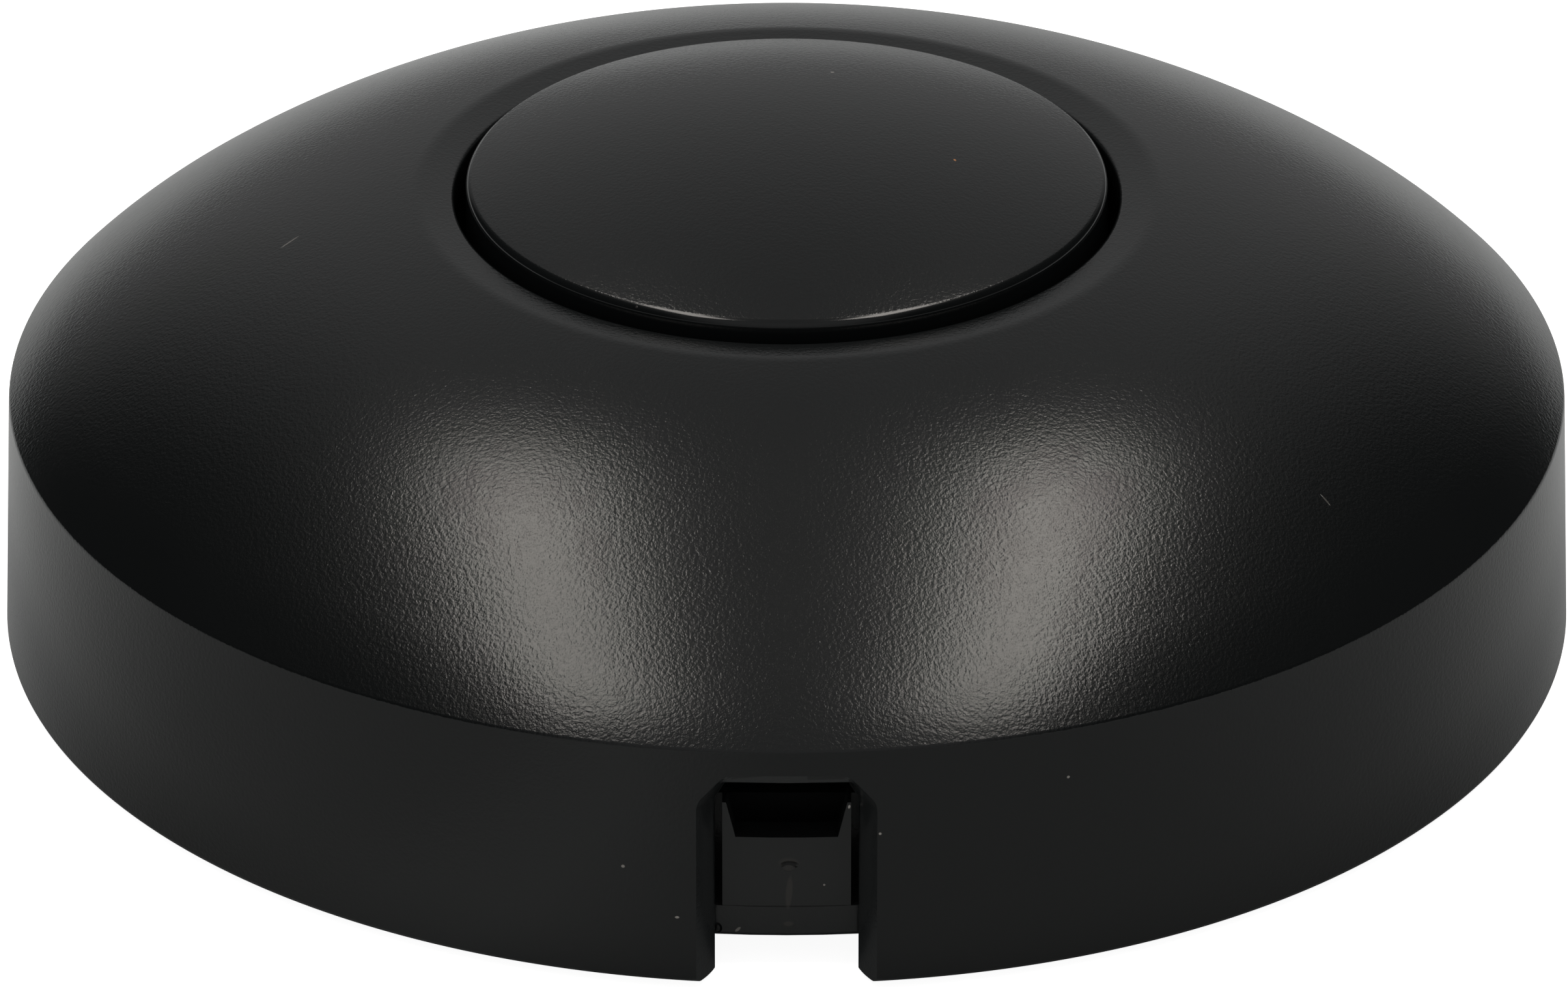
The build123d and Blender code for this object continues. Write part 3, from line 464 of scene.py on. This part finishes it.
def canSleeve(look):
    # Dark sleeve with a pale stripe down one side
    material, tree, shader, place = plainMaterial("canSleeve", Roughness=look["roughness"])
    x = addNode(tree, "ShaderNodeSeparateXYZ", [("Vector", place)]).outputs[0]
    stripe = maths(tree, "LESS_THAN", x, look["stripeX"])
    fillSockets(tree, shader, [
        ("Base Color", mixed(tree, stripe, look["colour"], look["stripe"])),
        ("Normal", bumpNormal(tree, noise(tree, place, look["scale"]), look["depth"]))])
    return material


def resistorLacquer(look):
    material, tree, shader, place = plainMaterial("resistorLacquer", Roughness=look["roughness"])
    x = addNode(tree, "ShaderNodeSeparateXYZ", [("Vector", place)]).outputs[0]
    along = mapRange(tree, x, look["from"], look["to"], clamp=False)
    tone = look["colour"]
    for middle, colour in look["bands"]:
        away = maths(tree, "ABSOLUTE", maths(tree, "SUBTRACT", along, middle))
        tone = mixed(tree, maths(tree, "LESS_THAN", away, look["bandWidth"]), tone, colour)
    fillSockets(tree, shader, [("Base Color", tone)])
    return material


plastics = {
    "top_cover": mouldedPlastic("coverPlastic", coverPlastic),
    "push_button": mouldedPlastic("buttonPlastic", buttonPlastic),
    "base_plate": mouldedPlastic("basePlastic", basePlastic),
    "rubber_feet": mouldedPlastic("footRubber", rubberFoot),
    "push_switch": mouldedPlastic("switchPlastic", switchPlastic),
    "switch_plunger": mouldedPlastic("plungerPlastic", plungerPlastic),
    "film_capacitor": mouldedPlastic("filmBox", filmBox),
    "diodes": mouldedPlastic("diodeBody", diodeBody),
    "choke_core": mouldedPlastic("ferriteBody", ferriteBody),
}
clampBlack = mouldedPlastic("clampPlastic", clampPlastic)
terminalGreen = mouldedPlastic("terminalPlastic", terminalPlastic)
epoxy = mouldedPlastic("epoxyBody", epoxyBody)
metal = {name: plainMetal(name, *values) for name, values in metals.items()}
finishes = {
    **plastics,
    "front_cord_clamp": clampBlack, "rear_cord_clamp": clampBlack,
    "supply_terminal": terminalGreen, "lamp_terminal": terminalGreen,
    "triac": epoxy, "control_chip": epoxy, "bridge_rectifier": epoxy,
    "return_spring": metal["springSteel"], "housing_screws": metal["screwSteel"],
    "board_screws": metal["screwSteel"], "clamp_screws": metal["screwSteel"],
    "heat_sink_screw": metal["screwSteel"], "terminal_screws": metal["terminalSteel"],
    "heat_sink": metal["sinkAluminium"], "fuse_caps": metal["tinnedMetal"], "fuse_clips": metal["tinnedMetal"],
    "circuit_board": boardLaminate(boardLook),
    "choke_winding": cloudyMaterial("enamelledWire", wireLook, Metallic=wireLook["metallic"],
                                    **{"Coat Weight": wireLook["coat"]}),
    "can_capacitor": canSleeve(sleeveLook),
    "fuse_tube": cloudyMaterial("fuseGlass", glassLook, IOR=glassLook["ior"], **{"Transmission Weight": 1.0}),
    "resistors": resistorLacquer(resistorLook),
}
for name, material in finishes.items():
    finish(name, material)
print("materials set:", len(finishes), "of", len(nodes), "nodes")


# Shared by all the modelled pieces
mergeReach = 0.002 * mm      # doubles within this distance are merged
sliceReach = 0.0005 * mm


def startClean():
    if bpy.context.mode != "OBJECT":
        bpy.ops.object.mode_set(mode="OBJECT")
    bpy.ops.object.select_all(action="DESELECT")


def choose(piece):
    startClean()
    piece.select_set(True)
    bpy.context.view_layer.objects.active = piece


def drawChain(name, points, origin=(0, 0, 0)):
    # A line in the XZ plane: one vertex extruded from point to point, in mm, left in edit mode
    startClean()
    bpy.ops.mesh.primitive_plane_add(size=mm, location=[v * mm for v in origin])
    piece = bpy.context.object
    piece.name = name
    bpy.ops.object.mode_set(mode="EDIT")
    bpy.ops.mesh.select_all(action="SELECT")
    bpy.ops.mesh.merge(type="CENTER")
    bpy.ops.transform.translate(value=(points[0][0] * mm, 0, points[0][1] * mm))
    for (x, z), (nextX, nextZ) in zip(points, points[1:]):
        step = ((nextX - x) * mm, 0, (nextZ - z) * mm)
        bpy.ops.mesh.extrude_vertices_move(TRANSFORM_OT_translate={"value": step})
    bpy.ops.mesh.select_all(action="SELECT")
    return piece


def tidyMesh():
    # Doubles merged and faces turned outwards, back in object mode
    bpy.ops.mesh.select_all(action="SELECT")
    bpy.ops.mesh.remove_doubles(threshold=mergeReach)
    bpy.ops.mesh.normals_make_consistent(inside=False)
    bpy.ops.object.mode_set(mode="OBJECT")


def turnRound(steps, angle=360):
    bpy.ops.mesh.spin(steps=steps, angle=radians(angle), center=(0, 0, 0), axis=(0, 0, 1))
    tidyMesh()


def arcPoints(centre, radius, fromSlope, toSlope, steps):
    # Slopes are the surface normal's angle from straight up
    slopes = [fromSlope + (toSlope - fromSlope) * n / steps for n in range(steps + 1)]
    return [(centre[0] + radius * sin(s), centre[1] + radius * cos(s)) for s in slopes]


def roundedCorners(points, radius, steps):
    # Each inner corner of an open outline becomes an arc of this radius
    made = [points[0]]
    for before, corner, after in zip(points, points[1:], points[2:]):
        ways = []
        for end in (before, after):
            length = hypot(end[0] - corner[0], end[1] - corner[1])
            ways.append(((end[0] - corner[0]) / length, (end[1] - corner[1]) / length))
        half = acos(ways[0][0] * ways[1][0] + ways[0][1] * ways[1][1]) / 2
        middle = (ways[0][0] + ways[1][0], ways[0][1] + ways[1][1])
        reach = radius / sin(half) / hypot(*middle)
        centre = (corner[0] + middle[0] * reach, corner[1] + middle[1] * reach)
        ends = [(corner[0] + way[0] * radius / tan(half), corner[1] + way[1] * radius / tan(half)) for way in ways]
        angles = [atan2(end[1] - centre[1], end[0] - centre[0]) for end in ends]
        turn = (angles[1] - angles[0] + pi) % (2 * pi) - pi
        made += [(centre[0] + radius * cos(angles[0] + turn * n / steps),
                  centre[1] + radius * sin(angles[0] + turn * n / steps)) for n in range(steps + 1)]
    return made + [points[-1]]


def joinPieces(pieces):
    choose(pieces[0])
    for piece in pieces[1:]:
        piece.select_set(True)
    bpy.ops.object.join()
    return pieces[0]


def placeHere(piece):
    choose(piece)
    bpy.ops.object.transform_apply(location=True, rotation=True, scale=True)


def turnedCopies(piece, angles):
    # The piece turned about Z to the first angle, joined with copies of it at the others
    piece.rotation_euler = (0, 0, radians(angles[0]))
    placeHere(piece)
    copies = [piece]
    for angle in angles[1:]:
        choose(piece)
        bpy.ops.object.duplicate()
        copy = bpy.context.object
        copy.rotation_euler = (0, 0, radians(angle - angles[0]))
        placeHere(copy)
        copies.append(copy)
    return joinPieces(copies)


def useModifier(piece, kind, **values):
    choose(piece)
    added = piece.modifiers.new(kind.lower(), kind)
    for key, value in values.items():
        setattr(added, key, value)
    bpy.ops.object.modifier_apply(modifier=added.name)


def cutWith(piece, tool, operation="DIFFERENCE"):
    useModifier(piece, "BOOLEAN", object=tool, operation=operation, solver="EXACT")
    bpy.data.objects.remove(tool)


def standFor(piece, node, body, smoothing):
    choose(piece)
    bpy.ops.object.shade_smooth_by_angle(angle=radians(smoothing))
    useModifier(piece, "WEIGHTED_NORMAL", keep_sharp=True, weight=70)
    piece.data.materials.clear()
    piece.data.materials.append(finishes[node])
    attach(piece, body)
    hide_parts(node)
    print(node, "made:", len(piece.data.polygons), "faces")


def slicePiece(piece, places):
    # Cuts the piece off beyond each plane and closes it there
    choose(piece)
    bpy.ops.object.mode_set(mode="EDIT")
    for point, outwards in places:
        bpy.ops.mesh.select_all(action="SELECT")
        bpy.ops.mesh.bisect(plane_co=[v * mm for v in point], plane_no=outwards, use_fill=True,
                            clear_outer=True, threshold=sliceReach)
    tidyMesh()


def closedLoop(points):
    return points + [points[0]]


def mirrored(points):
    return [(-x, z) for x, z in reversed(points)] + points[1:]


def ringPart(name, outline, spread, half, steps=16):
    # A closed outline swept round Z, with flat sides at this distance from the middle
    piece = drawChain(name, closedLoop(outline))
    bpy.ops.transform.rotate(value=-radians(spread), orient_axis="Z", center_override=(0, 0, 0))
    turnRound(steps, 2 * spread)
    slicePiece(piece, (((0, half, 0), (0, 1, 0)), ((0, -half, 0), (0, -1, 0))))
    return piece


def cutterBar(name, outline, fromY, depth):
    # A bar with this outline that runs along Y
    piece = drawChain(name, outline, (0, fromY, 0))
    bpy.ops.mesh.edge_face_add()
    bpy.ops.mesh.extrude_region_move(TRANSFORM_OT_translate={"value": (0, depth * mm, 0)})
    tidyMesh()
    placeHere(piece)
    return piece


# Top cover: the dome, the skirt and the well turned in one, then the cable entries cut
coverShape = {
    "steps": 320,
    "skirtRadius": 50.0, "skirtBottom": 0.6, "skirtTop": 16.6, "creaseRadius": 49.52, "wall": 2.4,
    "edgeRound": 0.42, "edgeSlope": 91, "creaseRound": 0.4, "roundSteps": 5,
    "creaseSlope": 47.3, "shoulderRadius": 30.3, "shoulderSlope": 37.3, "shoulderSteps": 10,
    "crownRadius": 54.7, "crownSteps": 26, "innerCrownSteps": 16, "innerShoulderSteps": 8,
    "ringRadius": 23.9, "ringBlend": 3.0, "ringSlope": -4.0, "ringSteps": 10,
    "wellRadius": 21.07, "wellWall": 2.0, "wellFloor": 21.941, "floorWall": 1.8, "lipRound": 0.3, "lipSteps": 6,
    "guideInner": 3.08, "guideOuter": 4.78, "guideRise": 4.5,
}
entryShape = {
    "half": 4.4, "top": 14.2, "cornerWide": 1.1, "cornerHigh": 1.9, "cornerRound": 0.6, "cornerSteps": 4,
    "past": 3.0,             # how far the cutters reach out of the skirt and below the floor
    "depth": 9.0,
    # The outer edge is bevelled: a part of an arc of radius edgeRound, from edgeFrom to edgeTo degrees
    "edgeRound": 7.0, "edgeFrom": 52, "edgeTo": 72, "edgeSteps": 8, "roofRound": 0.8,
}
slotShape = {
    "angles": (0, 120, 240), "half": 3.55, "spread": 16, "inner": 17.18, "outer": 20.68, "from": 19.5, "to": 22.5,
}
postShape = {
    "circle": 38.5, "angles": (45, 135, 225, 315), "radius": 3.5, "bottom": 12.6, "length": 16.0, "sides": 48,
    "turn": 2,               # degrees, so that no side edge lies in the rib's middle plane
    "pilotRadius": 1.5, "pilotTop": 20.1, "pilotPast": 4.0, "pilotSides": 32,
    "ribHalf": 0.5, "ribReach": 50.0, "ribBottom": 14.6, "ribCorner": 15.5, "ribSlope": 45, "ribSteps": 4,
}


def domeArcs(shape):
    crease, shoulder = radians(shape["creaseSlope"]), radians(shape["shoulderSlope"])
    first = (shape["creaseRadius"] - shape["shoulderRadius"] * sin(crease),
             shape["skirtTop"] - shape["shoulderRadius"] * cos(crease))
    gap = shape["shoulderRadius"] - shape["crownRadius"]
    second = (first[0] + gap * sin(shoulder), first[1] + gap * cos(shoulder))
    blend = asin((shape["ringRadius"] - second[0]) / shape["crownRadius"])
    gap = shape["crownRadius"] - shape["ringBlend"]
    third = (second[0] + gap * sin(blend), second[1] + gap * cos(blend))
    return (
        (first, shape["shoulderRadius"], crease, shoulder, shape["shoulderSteps"]),
        (second, shape["crownRadius"], shoulder, blend, shape["crownSteps"]),
        (third, shape["ringBlend"], blend, radians(shape["ringSlope"]), shape["ringSteps"]),
    )


def coverOutline(shape):
    arcs = domeArcs(shape)
    first, firstRadius, _, shoulder, steps = arcs[0]
    # The small round at the crease touches the skirt and the dome
    draft = atan2(shape["skirtRadius"] - shape["creaseRadius"], shape["skirtTop"] - shape["skirtBottom"])
    small = shape["creaseRound"]
    line = (shape["skirtRadius"] - small * cos(draft), shape["skirtBottom"] - small * sin(draft))
    up = (-sin(draft), cos(draft))
    away = (line[0] - first[0], line[1] - first[1])
    along = away[0] * up[0] + away[1] * up[1]
    reach = (firstRadius - small) ** 2 - (away[0] ** 2 + away[1] ** 2 - along ** 2)
    rise = sqrt(reach) - along
    corner = (line[0] + up[0] * rise, line[1] + up[1] * rise)
    touch = atan2(corner[0] - first[0], corner[1] - first[1])
    edge, bottom, wall = shape["edgeRound"], shape["skirtBottom"], shape["wall"]
    points = [(shape["skirtRadius"] - wall, bottom)]
    points += arcPoints((shape["skirtRadius"] - edge, bottom + edge), edge, pi, radians(shape["edgeSlope"]),
                        shape["roundSteps"])
    points += arcPoints(corner, small, pi / 2 - draft, touch, shape["roundSteps"])
    points += arcPoints(first, firstRadius, touch, shoulder, steps)[1:]
    for centre, radius, fromSlope, toSlope, steps in arcs[1:]:
        points += arcPoints(centre, radius, fromSlope, toSlope, steps)[1:]
    # Ring, lip and well
    slope, lip = radians(shape["ringSlope"]), shape["lipRound"]
    lipX = shape["wellRadius"] + lip
    lipZ = points[-1][1] + (points[-1][0] - lipX) * tan(slope) - lip / cos(slope)
    points += arcPoints((lipX, lipZ), lip, slope, -pi / 2, shape["lipSteps"])
    floor = shape["wellFloor"]
    under = floor - shape["floorWall"]
    outer = shape["wellRadius"] + shape["wellWall"]
    points += [
        (shape["wellRadius"], floor), (shape["guideOuter"], floor),
        (shape["guideOuter"], floor + shape["guideRise"]), (shape["guideInner"], floor + shape["guideRise"]),
        (shape["guideInner"], under), (outer, under),
    ]
    centre, radius, shoulder, blend, _ = arcs[1]
    inner = arcPoints(centre, radius - wall, blend, shoulder, shape["innerCrownSteps"])
    points += [(outer, inner[0][1])] + inner
    start = asin((shape["creaseRadius"] - wall - first[0]) / (firstRadius - wall))
    points += arcPoints(first, firstRadius - wall, shoulder, start, shape["innerShoulderSteps"])[1:]
    return closedLoop(points)


def entryOutline(shape, out, over):
    # Half outline of a cable entry, grown by out at the sides and by over at the roof
    half, top = shape["half"], shape["top"]
    slant = atan2(shape["cornerHigh"], shape["cornerWide"])
    side = (half + out, top - shape["cornerHigh"] + out * (1 - cos(slant)) / sin(slant))
    roof = (half - shape["cornerWide"] + out - over * sin(slant), top + over)
    foot = (half + out, -shape["past"])
    return roundedCorners([(0, top + over), roof, side, foot], shape["cornerRound"] + over, shape["cornerSteps"])


def entryCutters(cover, entry):
    past = entry["past"]
    straight = cutterBar("entryWay", mirrored(entryOutline(entry, 0, 0)), -(cover["skirtRadius"] + past),
                         entry["depth"])
    # Bevelled outer edge: rings that shrink as they go in, bridged, and bent to the skirt
    outside, steps = cover["skirtRadius"], entry["edgeSteps"]
    span = entry["edgeTo"] - entry["edgeFrom"]
    turns = [radians(entry["edgeFrom"] + span * n / steps) for n in range(steps + 1)]
    rings = []
    for turn in turns:
        depth = entry["edgeRound"] * (cos(turns[0]) - cos(turn))
        wide = entry["edgeRound"] * (sin(turns[-1]) - sin(turn))
        short = max(0, 1 - depth / entry["roofRound"])
        over = entry["roofRound"] * (1 - sqrt(1 - short ** 2))
        rings.append((depth, (entry["half"] + wide) / (1 - depth / outside) - entry["half"], over))
    loops = [drawChain("entryEdge", closedLoop(mirrored(entryOutline(entry, wide, over))), (0, depth - outside, 0))
             for depth, wide, over in rings + [(-past, *rings[0][1:])]]
    piece = joinPieces(loops)      # its origin lies on the skirt
    bpy.ops.object.mode_set(mode="EDIT")
    bpy.ops.mesh.select_all(action="SELECT")
    bpy.ops.mesh.remove_doubles(threshold=mergeReach)
    bpy.ops.mesh.bridge_edge_loops()
    bpy.ops.mesh.select_all(action="SELECT")
    bpy.ops.mesh.fill_holes(sides=0)
    tidyMesh()
    width = 2 * (entry["half"] + rings[0][1])
    useModifier(piece, "SIMPLE_DEFORM", deform_method="BEND", deform_axis="Z", angle=width / outside)
    draft = atan2(outside - cover["creaseRadius"], cover["skirtTop"] - cover["skirtBottom"])
    bpy.ops.object.mode_set(mode="EDIT")
    bpy.ops.mesh.select_all(action="SELECT")
    bpy.ops.transform.rotate(value=draft, orient_axis="X",
                             center_override=(0, -outside * mm, cover["skirtBottom"] * mm))
    bpy.ops.object.mode_set(mode="OBJECT")
    placeHere(piece)
    return turnedCopies(straight, (0, 180)), turnedCopies(piece, (0, 180))


def screwPosts(cover, shape):
    # Posts with a rib out to the skirt, their tops inside the dome's wall
    shoulder, crown, _ = domeArcs(cover)
    circle, depth = shape["circle"], cover["wall"] / 2
    slope = asin((circle - crown[0][0]) / (crown[1] - depth))
    top = crown[0][1] + (crown[1] - depth) * cos(slope)
    startClean()
    bpy.ops.mesh.primitive_cylinder_add(
        vertices=shape["sides"], radius=shape["radius"] * mm, depth=shape["length"] * mm,
        rotation=(0, 0, radians(shape["turn"])),
        location=(circle * mm, 0, (shape["bottom"] + shape["length"] / 2) * mm))
    post = bpy.context.object
    placeHere(post)
    slicePiece(post, (((circle, 0, top), (sin(slope), 0, cos(slope))),))
    skirt, low = shape["ribReach"] - depth, shape["ribBottom"]
    outline = [(circle, low), (skirt, low), (skirt, shape["ribCorner"])]
    outline += arcPoints(shoulder[0], shoulder[1] - depth, radians(shape["ribSlope"]), shoulder[3],
                         shape["ribSteps"])
    outline += arcPoints(crown[0], crown[1] - depth, shoulder[3], slope, shape["ribSteps"])
    cutWith(post, cutterBar("postRib", outline, -shape["ribHalf"], 2 * shape["ribHalf"]), "UNION")
    startClean()
    height = shape["pilotTop"] - shape["bottom"] + shape["pilotPast"]
    bpy.ops.mesh.primitive_cylinder_add(
        vertices=shape["pilotSides"], radius=shape["pilotRadius"] * mm, depth=height * mm,
        rotation=(0, 0, radians(shape["turn"])),
        location=(circle * mm, 0, (shape["pilotTop"] - height / 2) * mm))
    cutWith(post, bpy.context.object)
    return turnedCopies(post, shape["angles"])


def makeCover(cover, entry, slot, post):
    piece = drawChain("coverShell", coverOutline(cover))
    turnRound(cover["steps"])
    straight, edge = entryCutters(cover, entry)
    cutWith(piece, edge)
    cutWith(piece, straight)
    inner, outer, under, over = slot["inner"], slot["outer"], slot["from"], slot["to"]
    legWay = ringPart("legSlot", [(inner, under), (outer, under), (outer, over), (inner, over)],
                      slot["spread"], slot["half"])
    cutWith(piece, turnedCopies(legWay, slot["angles"]))
    cutWith(piece, screwPosts(cover, post), "UNION")
    return piece


cover = makeCover(coverShape, entryShape, slotShape, postShape)
standFor(cover, "top_cover", "housing", smoothing=32)


# Push button: crowned cap on a thin skirt, with its stem, ribs and snap legs
buttonShape = {
    "steps": 288,
    "radius": 20.33, "inner": 18.93, "skirtBottom": 24.841, "edge": 0.15,
    "rimRound": 0.6, "rimSteps": 12, "crownRadius": 62.5, "crownSteps": 40, "innerSteps": 8,
    "apex": 34.441, "wall": 1.8,
    "stemRadius": 3.0, "stemEnd": 17.5, "stemChamfer": 0.6, "seatRadius": 8.0, "seat": 32.091,
    "ribAngles": (0, 60, 120, 180, 240, 300), "ribFrom": 7.0, "ribTo": 16.9, "ribHalf": 0.5,
    "ribBottom": 30.491, "ribInnerHeight": 2.7, "ribOuterHeight": 0.8,
    "legAngles": (0, 120, 240), "legHalf": 3.2, "legSpread": 14, "legTop": 26.2,
    "legInset": 0.05,        # how much thinner than the skirt the legs are on each side
    "barb": 19.991, "barbReach": 21.83, "barbHeight": 0.7, "legEnd": 18.091, "legTipRadius": 19.863,
}


def buttonOutline(shape):
    centre = (0, shape["apex"] - shape["crownRadius"])
    outside = shape["crownRadius"]
    inside = outside - shape["wall"]
    edge, small, radius, bottom = shape["edge"], shape["rimRound"], shape["radius"], shape["skirtBottom"]
    stem, end, chamfer = shape["stemRadius"], shape["stemEnd"], shape["stemChamfer"]
    touch = asin((radius - small) / (outside - small))
    corner = (radius - small, centre[1] + (outside - small) * cos(touch))
    points = [(0, end), (stem - chamfer, end), (stem, end + chamfer), (stem, shape["seat"])]
    points.append((shape["seatRadius"], shape["seat"]))
    points += arcPoints(centre, inside, asin(shape["seatRadius"] / inside), asin(shape["inner"] / inside),
                        shape["innerSteps"])
    points += [(shape["inner"], bottom + edge), (shape["inner"] + edge, bottom)]
    points += [(radius - edge, bottom), (radius, bottom + edge)]
    points += arcPoints(corner, small, pi / 2, touch, shape["rimSteps"])
    points += arcPoints(centre, outside, touch, 0, shape["crownSteps"])[1:]
    return points


def makeButton(shape):
    piece = drawChain("buttonCap", buttonOutline(shape))
    turnRound(shape["steps"])
    inner, outer = shape["inner"] + shape["legInset"], shape["radius"] - shape["legInset"]
    barb, top, end = shape["barb"], shape["legTop"], shape["legEnd"]
    leg = ringPart("snapLeg", [
        (inner, top), (outer, top), (outer, barb), (shape["barbReach"], barb),
        (shape["barbReach"], barb - shape["barbHeight"]), (shape["legTipRadius"], end), (inner, end)],
        shape["legSpread"], shape["legHalf"])
    cutWith(piece, turnedCopies(leg, shape["legAngles"]), "UNION")
    start, stop, low = shape["ribFrom"], shape["ribTo"], shape["ribBottom"]
    rib = cutterBar("capRib", [
        (start, low), (stop, low), (stop, low + shape["ribOuterHeight"]), (start, low + shape["ribInnerHeight"])],
        -shape["ribHalf"], 2 * shape["ribHalf"])
    cutWith(piece, turnedCopies(rib, shape["ribAngles"]), "UNION")
    return piece


button = makeButton(buttonShape)
standFor(button, "push_button", "button", smoothing=32)


# Four rubber feet, each with a shallow dish in the middle of its underside
footShape = {
    "circle": 36.0, "angles": (0, 90, 180, 270), "steps": 64,
    "dish": ((0, 0.25), (2.0, 0.25), (2.3, 0.06), (2.4, 0)),
    "radius": 5.0, "top": 3.3, "round": 0.6, "roundSteps": 6,
}


def makeFeet(shape):
    small = shape["round"]
    outline = [*shape["dish"]]
    outline += arcPoints((shape["radius"] - small, small), small, pi, pi / 2, shape["roundSteps"])
    outline += [(shape["radius"], shape["top"]), (0, shape["top"])]
    piece = drawChain("footPad", outline)
    turnRound(shape["steps"])
    piece.location = (shape["circle"] * mm, 0, 0)
    placeHere(piece)
    return turnedCopies(piece, shape["angles"])


feet = makeFeet(footShape)
standFor(feet, "rubber_feet", "housing", smoothing=40)


# Return spring: a wire ring turned up a helix, its ends ground flat
springShape = {
    "radius": 6.2, "wire": 1.0, "turns": 4.5, "bottom": 21.941, "top": 32.091, "stepsPerTurn": 32, "ring": 12,
    "ground": 0.3,           # the end rings' middles lie this share of the wire's thickness from the ends
    "pressed": 2.5,
}


def makeSpring(shape):
    startClean()
    sunk = shape["wire"] * shape["ground"]
    bpy.ops.mesh.primitive_circle_add(
        vertices=shape["ring"], radius=shape["wire"] / 2 * mm, rotation=(pi / 2, 0, 0),
        location=(shape["radius"] * mm, 0, (shape["bottom"] + sunk) * mm))
    piece = bpy.context.object
    piece.name = "springCoil"
    placeHere(piece)
    rise = shape["top"] - shape["bottom"] - 2 * sunk
    useModifier(piece, "SCREW", screw_offset=rise * mm, angle=2 * pi * shape["turns"],
                steps=int(shape["stepsPerTurn"] * shape["turns"]), use_merge_vertices=False)
    bpy.ops.object.mode_set(mode="EDIT")
    bpy.ops.mesh.select_all(action="SELECT")
    bpy.ops.mesh.fill_holes(sides=0)
    tidyMesh()
    slicePiece(piece, (((0, 0, shape["bottom"]), (0, 0, -1)), ((0, 0, shape["top"]), (0, 0, 1))))
    return piece


spring = makeSpring(springShape)
standFor(spring, "return_spring", "housing", smoothing=45)
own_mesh(spring)
